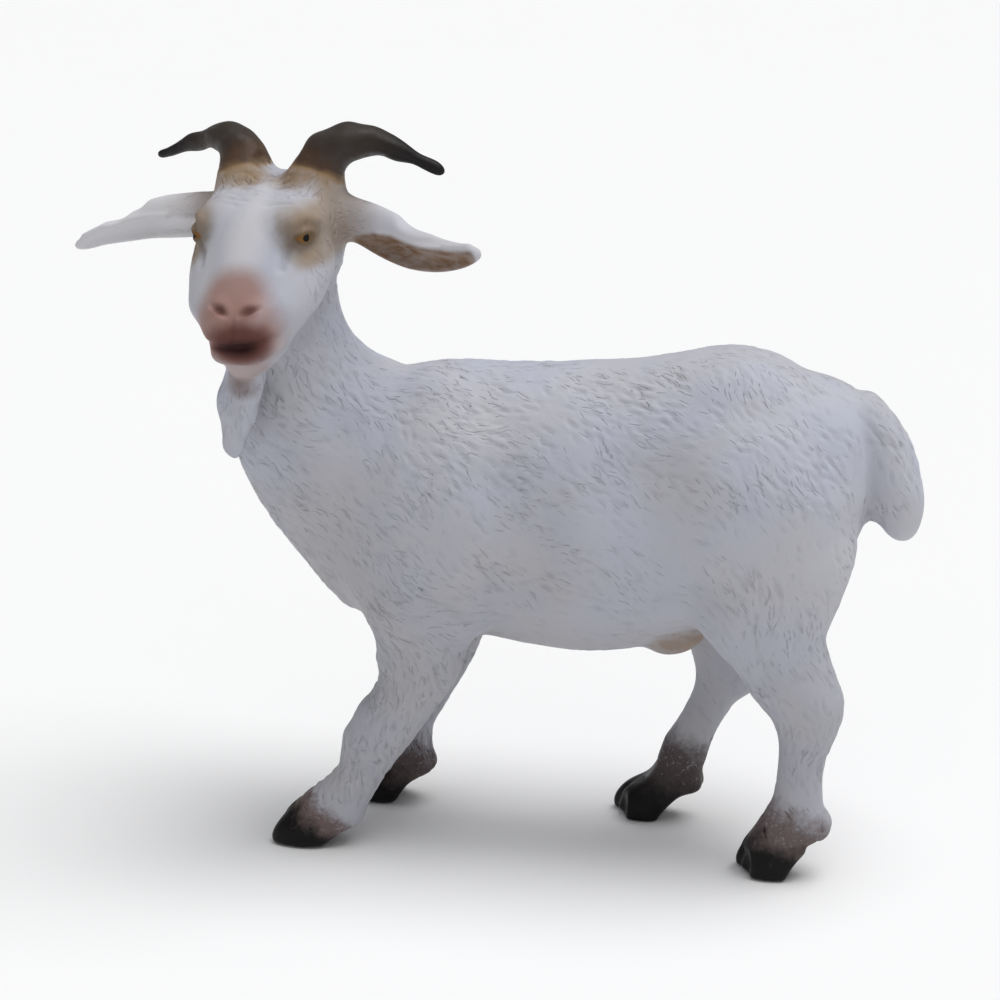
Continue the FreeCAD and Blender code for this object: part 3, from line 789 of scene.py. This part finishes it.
def part_off(solid, point, normal, inside=anywhere):
    """Cuts a bmesh along a plane, where the test allows it, and returns the part beyond
    the plane as a bmesh of its own. Both are left with an open rim."""
    normal, point = Vector(unit(normal)), Vector(point)
    faces = [f for f in solid.faces if inside(f.calc_center_median())]
    edges = {e for f in faces for e in f.edges}
    verts = {v for f in faces for v in f.verts}
    bmesh.ops.bisect_plane(
        solid, geom=[*faces, *edges, *verts], dist=1e-5, plane_co=point, plane_no=normal
    )
    solid.faces.index_update()
    beyond = set()
    for f in solid.faces:
        centre = f.calc_center_median()
        if (centre - point).dot(normal) > 0 and inside(centre):
            beyond.add(f.index)
    other = solid.copy()
    bmesh.ops.delete(solid, geom=[f for f in solid.faces if f.index in beyond], context="FACES")
    bmesh.ops.delete(other, geom=[f for f in other.faces if f.index not in beyond], context="FACES")
    return other


def placed(name, data):
    """A new object with that data, in the scene."""
    made = bpy.data.objects.new(name, data)
    bpy.context.scene.collection.objects.link(made)
    return made


def make_piece(solid, node, material):
    """Caps the open rims of a bmesh and makes it the piece that stands for a node."""
    rims = [e for e in solid.edges if e.is_boundary]
    caps = bmesh.ops.holes_fill(solid, edges=rims, sides=0)["faces"]
    if caps:
        bmesh.ops.triangulate(solid, faces=caps, ngon_method="EAR_CLIP")
    bmesh.ops.scale(solid, vec=(MM, MM, MM), verts=solid.verts)
    name = f"goat_{node}"
    mesh = bpy.data.meshes.new(name)
    solid.to_mesh(mesh)
    solid.free()
    set_normals(mesh)
    mesh.materials.append(material)
    piece = placed(name, mesh)
    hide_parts(node)
    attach(piece, "root")
    return piece


def set_normals(mesh):
    """Gives the outer faces the normals they had before the cuts, and leaves caps flat."""
    mesh.polygons.foreach_set("use_smooth", np.ones(len(mesh.polygons), dtype=bool))
    at_points = read(mesh.attributes["smooth_normal"].data, "vector", 3)
    chosen = at_points[read(mesh.loops, "vertex_index", 1, np.int32)]
    totals = read(mesh.polygons, "loop_total", 1, np.int32)
    flat = np.repeat(read(mesh.polygons, "normal", 3), totals, axis=0)
    chosen = np.where((np.sum(chosen * flat, 1) < 0.35)[:, None], flat, chosen)
    mesh.normals_split_custom_set(chosen.astype(float).tolist())
    mesh.attributes.remove(mesh.attributes["smooth_normal"])


def finish_surface(field, strokes, wavy=1.0):
    """Meshes a field, presses the hair into it and works out its shading values."""
    surface = Skin(field)
    surface.values["hollow"] = hollows(field, surface.points)
    surface.values["tooling"] = hair_density(surface.points)
    surface.values["lie"] = flow_of(surface.points)
    rough = waves(surface.points, 5.5, 0.28, 3) + waves(surface.points, 2.4, 0.05, 5)
    surface.move(rough * wavy * np.clip(surface.values["tooling"] * 2.5, 0.12, 1))
    surface.find_normals()
    comb(surface, strokes)
    surface.find_normals()
    return surface


# ---- materials


class Nodes:
    """Writes the node tree of a material in plain steps. Lengths are in millimetres."""

    def __init__(self, name):
        self.material = bpy.data.materials.new(name)
        self.material.use_nodes = True
        self.tree = self.material.node_tree
        self.shader = self.tree.nodes["Principled BSDF"]
        self.place = self.vector("SCALE", self.add("TexCoord")["Object"], scale=1 / MM)

    def add(self, kind, *values, **settings):
        """Adds a node with these first inputs and settings, and returns its outputs."""
        node = self.tree.nodes.new("ShaderNode" + kind)
        for name, setting in settings.items():
            setattr(node, name, setting)
        for socket, value in zip(node.inputs, values):
            self.put(socket, value)
        return node.outputs

    def put(self, socket, value):
        """Links an input or sets its value; None leaves it alone."""
        if isinstance(value, bpy.types.NodeSocket):
            self.tree.links.new(value, socket)
        elif value is not None:
            if socket.type == "RGBA" and len(value) == 3:
                value = (*value, 1.0)
            socket.default_value = value

    def vector(self, operation, a, b=None, scale=None):
        made = self.add("VectorMath", a, b, None, scale, operation=operation)
        return made["Value" if operation in ("DOT_PRODUCT", "LENGTH") else "Vector"]

    def dot(self, a, b):
        return self.vector("DOT_PRODUCT", a, b)

    def math(self, operation, a, b=None, clamp=False):
        return self.add("Math", a, b, operation=operation, use_clamp=clamp)[0]

    def plus(self, a, b):
        return self.math("ADD", a, b)

    def minus(self, a, b):
        return self.math("SUBTRACT", a, b)

    def times(self, *values):
        product = values[0]
        for value in values[1:]:
            product = self.math("MULTIPLY", product, value)
        return product

    def ramp(self, value, low, high, start=0.0, end=1.0):
        """Goes softly from start at low to end at high; low may be the larger."""
        if low > high:
            low, high, start, end = high, low, end, start
        soft = {"interpolation_type": "SMOOTHSTEP"}
        return self.add("MapRange", value, low, high, start, end, **soft)[0]

    def mix(self, share, a, b):
        return self.add("Mix", share, *[None] * 5, a, b, data_type="RGBA")[2]

    def turned(self, axes, stretch=(1, 1, 1), centre=(0, 0, 0)):
        """The place along three axes from a centre, each divided by its stretch."""
        offset = self.vector("SUBTRACT", self.place, tuple(centre))
        axes = [tuple(np.array(axis, float) / size) for axis, size in zip(axes, stretch)]
        return self.add("CombineXYZ", *[self.dot(offset, axis) for axis in axes])[0]

    def noise(self, scale, detail=3.0, rough=0.5, at=None):
        return self.add("TexNoise", at or self.place, None, scale, detail, rough)["Fac"]

    def cells(self, scale, at=None):
        return self.add("TexVoronoi", at or self.place, None, scale)

    def value(self, name, output="Fac"):
        return self.add("Attribute", attribute_name=name)[output]

    def spot(self, centre, axes, radii, inner, outer, share=1.0, ragged=None):
        """The share within an ellipsoid around a centre, 0 outside it, softly between."""
        away = self.vector("LENGTH", self.turned(axes, radii, centre))
        if ragged is not None:
            away = self.plus(away, ragged)
        return self.ramp(away, outer, inner, 0.0, share)

    def dab(self, colour, paint, *where):
        """Puts a spot of paint on a colour."""
        return self.mix(self.spot(*where), colour, paint)

    def bump(self, height, distance, strength=1.0, under=None):
        return self.add("Bump", strength, distance * MM, None, height, under)[0]

    def finish(self, colour, roughness, normal=None):
        self.put(self.shader.inputs["Base Color"], colour)
        self.put(self.shader.inputs["Roughness"], roughness)
        self.put(self.shader.inputs["Normal"], normal)
        self.shader.inputs["Specular IOR Level"].default_value = 0.18
        return self.material


WHITE = (0.500, 0.515, 0.598)
WHITE_WARM = (0.520, 0.520, 0.560)
SHADE = (0.250, 0.250, 0.280)
# Painted shade in pores.
PORE_SHADE = (0.110, 0.100, 0.100)
# A painted highlight, also used on the ears.
PAINTED_HIGHLIGHT = (0.680, 0.670, 0.690)
CHIN = (0.400, 0.320, 0.315)
# Painted shade for the lower parts.
LOW_SHADE = (0.330, 0.320, 0.310)
HOOF = (0.004, 0.003, 0.003)
PATCH = (0.145, 0.096, 0.055)
NOSE = (0.365, 0.215, 0.185)
LIP = (0.110, 0.034, 0.026)
MOUTH = (0.020, 0.003, 0.003)
OCHRE = (0.280, 0.180, 0.088)
HORN_ROOT = (0.080, 0.044, 0.026)
CHARCOAL = (0.040, 0.029, 0.023)
CHARCOAL_PALE = (0.052, 0.042, 0.038)
HORN_TIP = (0.012, 0.010, 0.010)
EAR_TAN = (0.160, 0.078, 0.024)
BEIGE = (0.330, 0.250, 0.180)
LID = (0.150, 0.100, 0.050)
AMBER = (0.210, 0.095, 0.018)
PUPIL = (0.004, 0.004, 0.005)
UDDER = (0.260, 0.175, 0.110)
BEARD_SMUDGE = (0.200, 0.150, 0.145)


def hair_marks(nodes, scale, length, width, shift):
    """One layer of short tool marks: one in each cell of a grid of loose points, laid
    along the hair and turned a little at random. 1 in the middle of a mark."""
    place = nodes.vector("ADD", nodes.place, (shift, shift * 1.7, shift * 2.3))
    cell = nodes.cells(scale, place)
    offset = nodes.vector("SUBTRACT", place, cell["Position"])
    turn, bend, drop = nodes.add("SeparateColor", cell["Color"])
    normal = nodes.add("NewGeometry")["Normal"]
    side = nodes.vector("CROSS_PRODUCT", normal, nodes.value("lie", "Vector"))
    side = nodes.vector("NORMALIZE", side)
    way = nodes.vector("CROSS_PRODUCT", side, normal)
    along, across = nodes.dot(offset, way), nodes.dot(offset, side)
    turn = nodes.times(nodes.minus(turn, 0.5), 0.8)
    c, s = nodes.math("COSINE", turn), nodes.math("SINE", turn)
    u = nodes.plus(nodes.times(along, c), nodes.times(across, s))
    v = nodes.minus(nodes.times(across, c), nodes.times(along, s))
    v = nodes.plus(v, nodes.times(u, u, nodes.minus(bend, 0.5), 0.5))
    ends = nodes.ramp(nodes.math("ABSOLUTE", u), length / 2, length / 5)
    line = nodes.ramp(nodes.math("ABSOLUTE", v), width, 0.0)
    clump = nodes.ramp(nodes.noise(0.45, 2.0), 0.35, 0.65, 0.5, 1.7)
    present = nodes.minus(nodes.times(nodes.value("tooling"), clump), drop)
    return nodes.times(ends, line, nodes.ramp(present, 0.0, 0.5))


# Scale, length, width and shift of each layer of tool marks, which are bumped and painted darker as
# painted shade.
MARK_LAYERS = [(0.50, 2.4, 0.14, 0.0), (0.62, 1.9, 0.12, 31.0), (0.85, 1.3, 0.10, 57.0)]


def coat_layers(nodes, strength=0.20):
    """White paint, greyed as painted shade in the tool marks, grooves and hollows, towards the
    bottom and in tiny pits, and mottled at random; and the depth of its fine marks.
    """
    tint = nodes.mix(nodes.ramp(nodes.noise(0.09, 2.0), 0.35, 0.65), WHITE, WHITE_WARM)
    # Painted shade: the paint greys towards the bottom, where the surfaces face down and get less
    # light.
    level = nodes.dot(nodes.place, (0.25, 0, 1))
    tint = nodes.mix(nodes.ramp(level, 52.0, 24.0, 0.0, 0.42), tint, LOW_SHADE)
    marks, *others = [hair_marks(nodes, *layer) for layer in MARK_LAYERS]
    for other in others:
        marks = nodes.math("MAXIMUM", marks, other)
    # Painted shade: the paint greys in the tool marks, in the grooves and in hollows and creases,
    # as if they lay in shade; the mottle is random tone.
    groove = nodes.ramp(nodes.value("groove"), 0.15, 1.1, 0.0, 0.7 * strength)
    hollow = nodes.ramp(nodes.value("hollow"), 0.03, 0.75, 0.0, 0.42)
    mottle = nodes.ramp(nodes.noise(1.1, 4.0, 0.65), 0.52, 0.78, 0.0, 0.10)
    shade_and_mottle = nodes.math("MAXIMUM", nodes.times(marks, strength), groove)
    shade_and_mottle = nodes.math("ADD", nodes.plus(shade_and_mottle, mottle), hollow, clamp=True)
    # Painted shade: sparse tiny dark specks stand for the shade inside pores, which the mesh
    # doesn't have.
    pits = nodes.ramp(nodes.cells(0.75)["Distance"], 0.11, 0.06)
    clump = nodes.ramp(nodes.noise(0.3), 0.50, 0.60)
    pits = nodes.times(pits, clump, nodes.value("tooling"), 0.5)
    return nodes.mix(pits, nodes.mix(shade_and_mottle, tint, SHADE), PORE_SHADE), marks


def coat_bump(nodes, marks, strength=0.8):
    """Grain of the paint under the tool marks."""
    grain = nodes.bump(nodes.noise(5.5, 4.0, 0.65), 0.07, 0.5)
    return nodes.bump(nodes.minus(1.0, marks), 0.11, strength, grain)


def satin(nodes):
    return nodes.ramp(nodes.noise(1.7), 0.3, 0.7, 0.50, 0.64)


def ragged_edge(nodes, size, amount):
    """Uneven amounts around zero that break up the edge of a sprayed colour."""
    return nodes.times(nodes.minus(nodes.noise(size, 4.0), 0.5), amount)


def paint_coat(name, relief=0.8):
    """The coat, with the bare skin of the udder, which fades into the hair of the belly."""
    nodes = Nodes(name)
    colour, marks = coat_layers(nodes)
    low, high = node_box("udder")
    middle = (low + high) / 2 - np.array([0, 0, 0.6])
    edge = ragged_edge(nodes, 0.7, 0.4)
    colour = nodes.dab(colour, UDDER, middle, UPRIGHT, (5.2, 4.0, 3.8), 0.5, 1.1, 0.9, edge)
    return nodes.finish(colour, satin(nodes), coat_bump(nodes, marks, relief))


# Of each leg: how much its spray slants, the heights at the toe where the black and the
# brown end and where the brown has faded out, and the brown. The right legs, on the far side, get a
# darker brown as painted shade.
SPRAYS = {
    "foreleg_left": (0.80, 7.4, 8.8, 12.0, (0.135, 0.090, 0.084)),
    "foreleg_right": (0.50, 6.0, 9.5, 14.5, (0.075, 0.048, 0.044)),
    "hindleg_left": (0.35, 6.0, 8.2, 13.0, (0.120, 0.084, 0.078)),
    "hindleg_right": (0.45, 7.0, 12.0, 17.0, (0.060, 0.039, 0.035)),
}


def paint_leg(node):
    """White coat that is sprayed brown-grey towards a black, slightly glossy hoof."""
    nodes = Nodes(f"painted_{node}")
    colour, marks = coat_layers(nodes)
    slope, black_top, brown_top, end, brown = SPRAYS[node]
    toe = float(node_box(node)[0][0])
    level = nodes.dot(nodes.vector("SUBTRACT", nodes.place, (toe, 0, 0)), (slope, 0, 1))
    for size, amount in ((0.5, 4.5), (2.2, 2.2)):
        level = nodes.plus(level, ragged_edge(nodes, size, amount))
    level = nodes.minus(level, nodes.times(marks, 1.6))
    brown_share = nodes.ramp(level, end, brown_top, 0.0, 0.93)
    colour = nodes.mix(brown_share, colour, brown)
    specks = nodes.ramp(nodes.noise(2.6, 3.0, 0.7), 0.56, 0.68)
    specks = nodes.times(specks, nodes.ramp(level, black_top, brown_top), 0.35, brown_share)
    colour = nodes.mix(specks, colour, WHITE)
    black = nodes.ramp(level, brown_top, black_top - 2.0)
    colour = nodes.mix(black, colour, HOOF)
    return nodes.finish(colour, nodes.ramp(black, 0.0, 1.0, 0.58, 0.36), coat_bump(nodes, marks))


def paint_eyes(nodes, colour, eyes):
    """Amber irises with black pupils inside dark lids."""
    for (middle, front, rise, out), width, look in zip(eyes, (0.42, 0.52), (0.75, 0.15)):
        for paint, ahead, radii, *limits in (
            (LID, 0.2, (1.6, 0.85, 1.8), 0.6, 1.1, 0.92),
            (AMBER, look + 0.25, (0.95, 0.50, 1.8), 0.75, 1.05, 0.9),
            (PUPIL, look, (width, 0.48, 1.8), 0.80, 1.0),
        ):
            place = middle + front * ahead
            colour = nodes.dab(colour, paint, place, (front, rise, out), radii, *limits)
    return colour


# Around each eye: paint, place ahead and up, radii, where the spot is full and where it
# ends as shares of the radii, and its strength.
EYE_PAINT = [
    (PATCH, 0.7, 0.5, (3.8, 3.6, 4.5), 0.30, 1.08, 0.85),
    (BEIGE, 0.4, 2.9, (4.6, 3.0, 4.5), 0.3, 1.1, 0.6),
    (BEIGE, 0.0, -2.4, (2.8, 1.5, 3.0), 0.3, 1.0, 0.55),
]
NOSTRIL = (1.2, 1.3, 1.6)
# The same on the muzzle, with places along, out of and left of the face.
MUZZLE_PAINT = [
    # Painted highlight: the bridge of the nose is painted lighter, to stand in for the light that
    # falls on it.
    (PAINTED_HIGHLIGHT, (1.5, 1.2, 0.6), (9.5, 3.2, 3.4), 0.2, 1.1, 0.85),
    (NOSE, (8.6, -1.2, 0.5), (5.0, 4.5, 5.0), 0.50, 1.1, 0.92),
    (NOSE, (11.4, -3.0, 0.6), (5.2, 5.0, 6.9), 0.50, 1.1, 0.92),
    (LIP, (12.9, -3.2, MOUTH_LEFT), (3.1, 3.2, 5.3), 0.50, 1.05, 0.92),
    (LIP, (10.4, -0.7, NOSE_LEFT - 1.85), NOSTRIL, 0.2, 1.0, 0.6),
    (LIP, (10.4, -0.7, NOSE_LEFT + 1.85), NOSTRIL, 0.2, 1.0, 0.6),
    (MOUTH, (13.4, -3.2, MOUTH_LEFT), (1.7, 1.4, 4.0), 0.25, 1.05, 0.95),
    (CHIN, (14.6, -7.4, 0.6), (3.2, 2.6, 5.0), 0.6, 1.05, 0.9),
]


def paint_face(nodes, colour, eyes):
    """A painted highlight on the bridge of the nose, olive around the eyes, a dusty pink nose, a
    maroon mouth and a smudged chin.
    """
    edge, faint = ragged_edge(nodes, 0.55, 0.5), ragged_edge(nodes, 0.35, 0.18)
    for middle, front, rise, out in eyes:
        for paint, ahead, up, radii, *limits in EYE_PAINT:
            place = middle + rise * up + front * ahead
            colour = nodes.dab(colour, paint, place, (front, rise, out), radii, *limits, edge)
    for paint, place, radii, *limits in MUZZLE_PAINT:
        ragged = None if radii == NOSTRIL else faint
        colour = nodes.dab(colour, paint, face(*place), FACE_AXES, radii, *limits, ragged)
    smudge = (head(3.6, -1.0, -16.6), HEAD_AXES, (2.6, 2.2, 2.2), 0.3, 1.1, 0.95, edge)
    return nodes.dab(colour, BEARD_SMUDGE, *smudge)


def paint_ears(nodes, colour):
    """Tan inside the left ear and beige near the roots of both; as painted highlight, both ears are
    painted lighter towards their tips and the inside of the right one pale.
    """
    place = nodes.turned(HEAD_AXES, centre=EYES)
    up = nodes.dot(place, (0, 0, 1))
    streaks = nodes.noise(1.2, 3.0, 0.6, nodes.turned(HEAD_AXES, (1, 3.5, 1)))
    streaks = nodes.ramp(streaks, 0.3, 0.7, 0.72, 1.0)
    # Painted highlight: each ear is painted lighter towards its tip, by the last share, and the
    # right ear's lining is the highlight white.
    for side, lining, share, white in ((1, EAR_TAN, 0.95, 0.4), (-1, PAINTED_HIGHLIGHT, 0.60, 0.8)):
        left = nodes.dot(place, (0, side, 0))
        colour = nodes.mix(nodes.ramp(left, 8.0, 13.0, 0.0, white), colour, PAINTED_HIGHLIGHT)
        root = nodes.ramp(nodes.plus(left, ragged_edge(nodes, 0.4, 3.0)), 15.0, 7.0, 0.0, 0.8)
        root = nodes.times(root, nodes.ramp(left, 5.8, 7.4), nodes.ramp(up, -4.2, -2.2))
        colour = nodes.mix(root, colour, BEIGE)
        hollow = nodes.times(nodes.value("inner"), nodes.ramp(left, 7.5, 9.5, 0.0, share))
        colour = nodes.mix(nodes.times(hollow, streaks), colour, lining)
    return colour


def paint_horns(nodes, colour):
    """Charcoal horns that fade through brown and ochre into the hair at their roots."""
    rise = nodes.plus(nodes.value("horn"), ragged_edge(nodes, 0.6, 1.6))
    ragged = ragged_edge(nodes, 0.7, 0.6)
    for side in (-1, 1):
        root = (head(-4.7, side * 3.9, 5.6), HEAD_AXES, (3.3, 4.7, 3.2), 0.3, 1.1, 0.9, ragged)
        colour = nodes.dab(colour, OCHRE, *root)
    charcoal = nodes.mix(nodes.ramp(nodes.noise(0.35), 0.3, 0.7), CHARCOAL, CHARCOAL_PALE)
    for paint, low, high, share in (
        (OCHRE, -1.2, 2.2, 0.85),
        (HORN_ROOT, 1.6, 4.2, 1.0),
        (charcoal, 3.2, 6.4, 1.0),
        (HORN_TIP, 9.0, 17.0, 1.0),
    ):
        colour = nodes.mix(nodes.ramp(rise, low, high, 0.0, share), colour, paint)
    return colour


def paint_head(node, eyes):
    """The whole paint of the head, so that it runs on from piece to piece."""
    nodes = Nodes(f"painted_{node}")
    colour, marks = coat_layers(nodes, 0.10)
    colour = paint_horns(nodes, paint_ears(nodes, colour))
    colour = paint_eyes(nodes, paint_face(nodes, colour, eyes), eyes)
    horn = nodes.ramp(nodes.value("horn"), 0.0, 3.0)
    rings = nodes.times(nodes.noise(1.3, 2.0), horn, 0.6)
    normal = coat_bump(nodes, nodes.plus(marks, rings), 0.7)
    gloss = nodes.minus(satin(nodes), nodes.times(horn, 0.12))
    for middle, *axes in eyes:
        gloss = nodes.minus(gloss, nodes.spot(middle, axes, (1.5, 1.0, 1.6), 0.85, 1.05, 0.12))
    return nodes.finish(colour, gloss, normal)


# ---- stage


def make_floor():
    nodes = Nodes("floor_white")
    pale = nodes.mix(nodes.noise(0.02), (0.94, 0.94, 0.94), (0.95, 0.95, 0.95))
    material = nodes.finish(pale, nodes.ramp(nodes.noise(0.1), 0.3, 0.7, 0.88, 0.94))
    mesh = bpy.data.meshes.new("floor")
    half = 3.0
    corners = [(-half, -half, 0), (half, -half, 0), (half, half, 0), (-half, half, 0)]
    mesh.from_pydata(corners, [], [(0, 1, 2, 3)])
    mesh.materials.append(material)
    placed("floor", mesh)


def sun(name, direction, strength, spread):
    """A soft light from far away; the direction points towards it."""
    data = bpy.data.lights.new(name, "SUN")
    data.energy, data.angle = strength, radians(spread)
    placed(name, data).rotation_euler = Vector(direction).to_track_quat("Z", "Y").to_euler()


def make_light():
    world = bpy.data.worlds.new("studio")
    bpy.context.scene.world = world
    world.use_nodes = True
    background = world.node_tree.nodes["Background"]
    background.inputs["Color"].default_value = (0.97, 0.98, 1.0, 1)
    background.inputs["Strength"].default_value = 0.30
    sun("overhead", (0.30, 0.05, 1.0), 2.25, 45)
    sun("front", (0.25, -1.0, 0.9), 0.20, 60)
    bpy.context.scene.view_settings.view_transform = "Standard"


def make_camera():
    """From the left side, a little above it and turned a little towards the tail."""
    azimuth, elevation, distance = radians(10), radians(18), 400 * MM
    level = cos(elevation)
    back = Vector((sin(azimuth) * level, -cos(azimuth) * level, sin(elevation)))
    target = Vector((-0.42, 10.14, 39.1)) * MM
    data = bpy.data.cameras.new("camera")
    data.sensor_width, data.lens = 36.0, 120.0
    camera = placed("camera", data)
    camera.location = target + back * distance
    camera.rotation_euler = back.to_track_quat("Z", "Y").to_euler()
    bpy.context.scene.camera = camera


# ---- assembly


def make_torso(surface, seam):
    """The torso, with the tail and the udder cut from it."""
    torso = mesh_of(surface)
    part_off(torso, (0, 0, seam), (0, 0, -1)).free()
    low, high = node_box("head")
    part_off(torso, NECK_POINT, NECK_NORMAL, within(low - 25, high + 25)).free()
    tail = part_off(torso, (node_box("torso")[1][0] + 0.1, 0, 0), (1, 0, 0))
    low, high = node_box("udder")
    rim, down = (low[0] + 3.7, 0, low[2] + 2.3), (-0.35, 0, -1)
    udder = part_off(torso, rim, down, within(low - 3, high + 3))
    make_piece(torso, "torso", paint_coat("painted_coat"))
    make_piece(tail, "tail", paint_coat("painted_tail"))
    make_piece(udder, "udder", paint_coat("painted_udder", 0.3))


def make_legs(surface, seam):
    """The legs, cut from the torso and then from each other."""
    solid = mesh_of(surface)
    legs = part_off(solid, (0, 0, seam), (0, 0, -1))
    solid.free()
    front = part_off(legs, (5, 0, 0), (-1, 0, 0))
    low, high = node_box("torso")
    for pair, kind in ((front, "foreleg"), (legs, "hindleg")):
        left = part_off(pair, (0, (low[1] + high[1]) / 2, 0), (0, -1, 0))
        for leg, side in ((left, "left"), (pair, "right")):
            node = f"{kind}_{side}"
            make_piece(leg, node, paint_leg(node))


def make_head(surface, eyes):
    """The head, with the ears and the horns cut from it."""
    solid = mesh_of(surface)
    skull = part_off(solid, NECK_POINT, NECK_NORMAL)
    solid.free()
    ears = [part_off(skull, head(0, side * 8.3, 0), LEFT * side) for side in (1, -1)]
    horns = part_off(skull, head(0, 0, 6.4), UP)
    left_horn = part_off(horns, EYES, LEFT)
    names = ("ear_left", "ear_right", "horn_left", "horn_right")
    for node, part in zip(names, (*ears, left_horn, horns)):
        make_piece(part, node, paint_head(node, eyes))
    make_piece(skull, "head", paint_head("head", eyes))


def make_beard(eyes):
    """The beard, tooled along its length, which grows out of the chin."""
    low, high = node_box("beard")
    low = low - 2.0
    shape = np.ceil((high + 2.0 - low) / FINE).astype(int)
    surface = Skin(Field(low, FINE, blur(node_field("beard", low, FINE, shape), 1.5)))
    bent = waves(surface.points * np.array([1, 1, 0.25]), 0.9, 0.32, 2)
    surface.move(bent + waves(surface.points, 3.0, 0.3, 4))
    surface.find_normals()
    surface.values = {
        # Painted shade: the grooves darken where the beard bends inwards.
        "groove": np.clip(-bent * 3.5, 0, 0.8),
        "tooling": np.full(len(bent), 0.7),
        "hollow": np.zeros(len(bent)),
        "inner": np.zeros(len(bent)),
        "horn": np.full(len(bent), -20.0),
        "lie": np.tile(-UP, (len(bent), 1)),
    }
    make_piece(mesh_of(surface), "beard", paint_head("beard", eyes))


# Ahead, left (for the left horn) and up of points along the middle of a horn.
HORN_PATH = [(-6.6, 3.9, 2.4), (-6.8, 4.3, 3.9), (-7.6, 5.1, 7.0), (-8.4, 6.6, 8.8),
             (-9.2, 8.8, 9.35), (-10.0, 11.5, 8.9), (-10.7, 14.6, 7.7), (-11.5, 19.0, 6.0)]


def along_horn(points):
    """How far each point lies along the nearer horn, from a little above its root, and
    a low value for the points that are on neither."""
    ahead, left, up, _ = head_places(points)
    places = np.stack([ahead, np.abs(left), up], 1)
    path = np.array(HORN_PATH)
    nearest, found, gone = np.full(len(points), 1e9), np.zeros(len(points)), -0.8
    for a, b in zip(path, path[1:]):
        span = b - a
        share = np.clip((places - a) @ span / (span @ span), 0, 1)
        away = np.linalg.norm(places - a - share[:, None] * span, axis=1)
        found = np.where(away < nearest, gone + share * np.linalg.norm(span), found)
        nearest = np.minimum(nearest, away)
        gone += np.linalg.norm(span)
    return found - 40.0 * fade(nearest, 3.2, 4.6)


def head_surface(field, strokes):
    """The surface of the head, with how far each point lies inside the hollow of an ear
    and along a horn, and with ripples on the horns."""
    surface = finish_surface(field, strokes)
    troughs = [ear_hollow(name)[0](*surface.points.T) for name in EAR_HOLLOWS]
    surface.values["inner"] = fade(-np.minimum(*troughs), -0.75, -0.15)
    surface.values["horn"] = along_horn(surface.points)
    ripples = waves(surface.points, 2.6, 0.35, 8) * fade(surface.values["horn"], 1.0, 5.0)
    surface.move(ripples)
    surface.find_normals()
    return surface


def build():
    body = whole_body()
    seam = node_box("torso")[0][2]
    strokes = plan_hair(Skin(body))
    make_torso(finish_surface(body, strokes), seam)
    make_legs(finish_surface(lower_legs(body), strokes, 0.5), seam)
    field, eyes = whole_head(body)
    make_head(head_surface(field, strokes), eyes)
    make_beard(eyes)


build()
make_floor()
make_light()
make_camera()
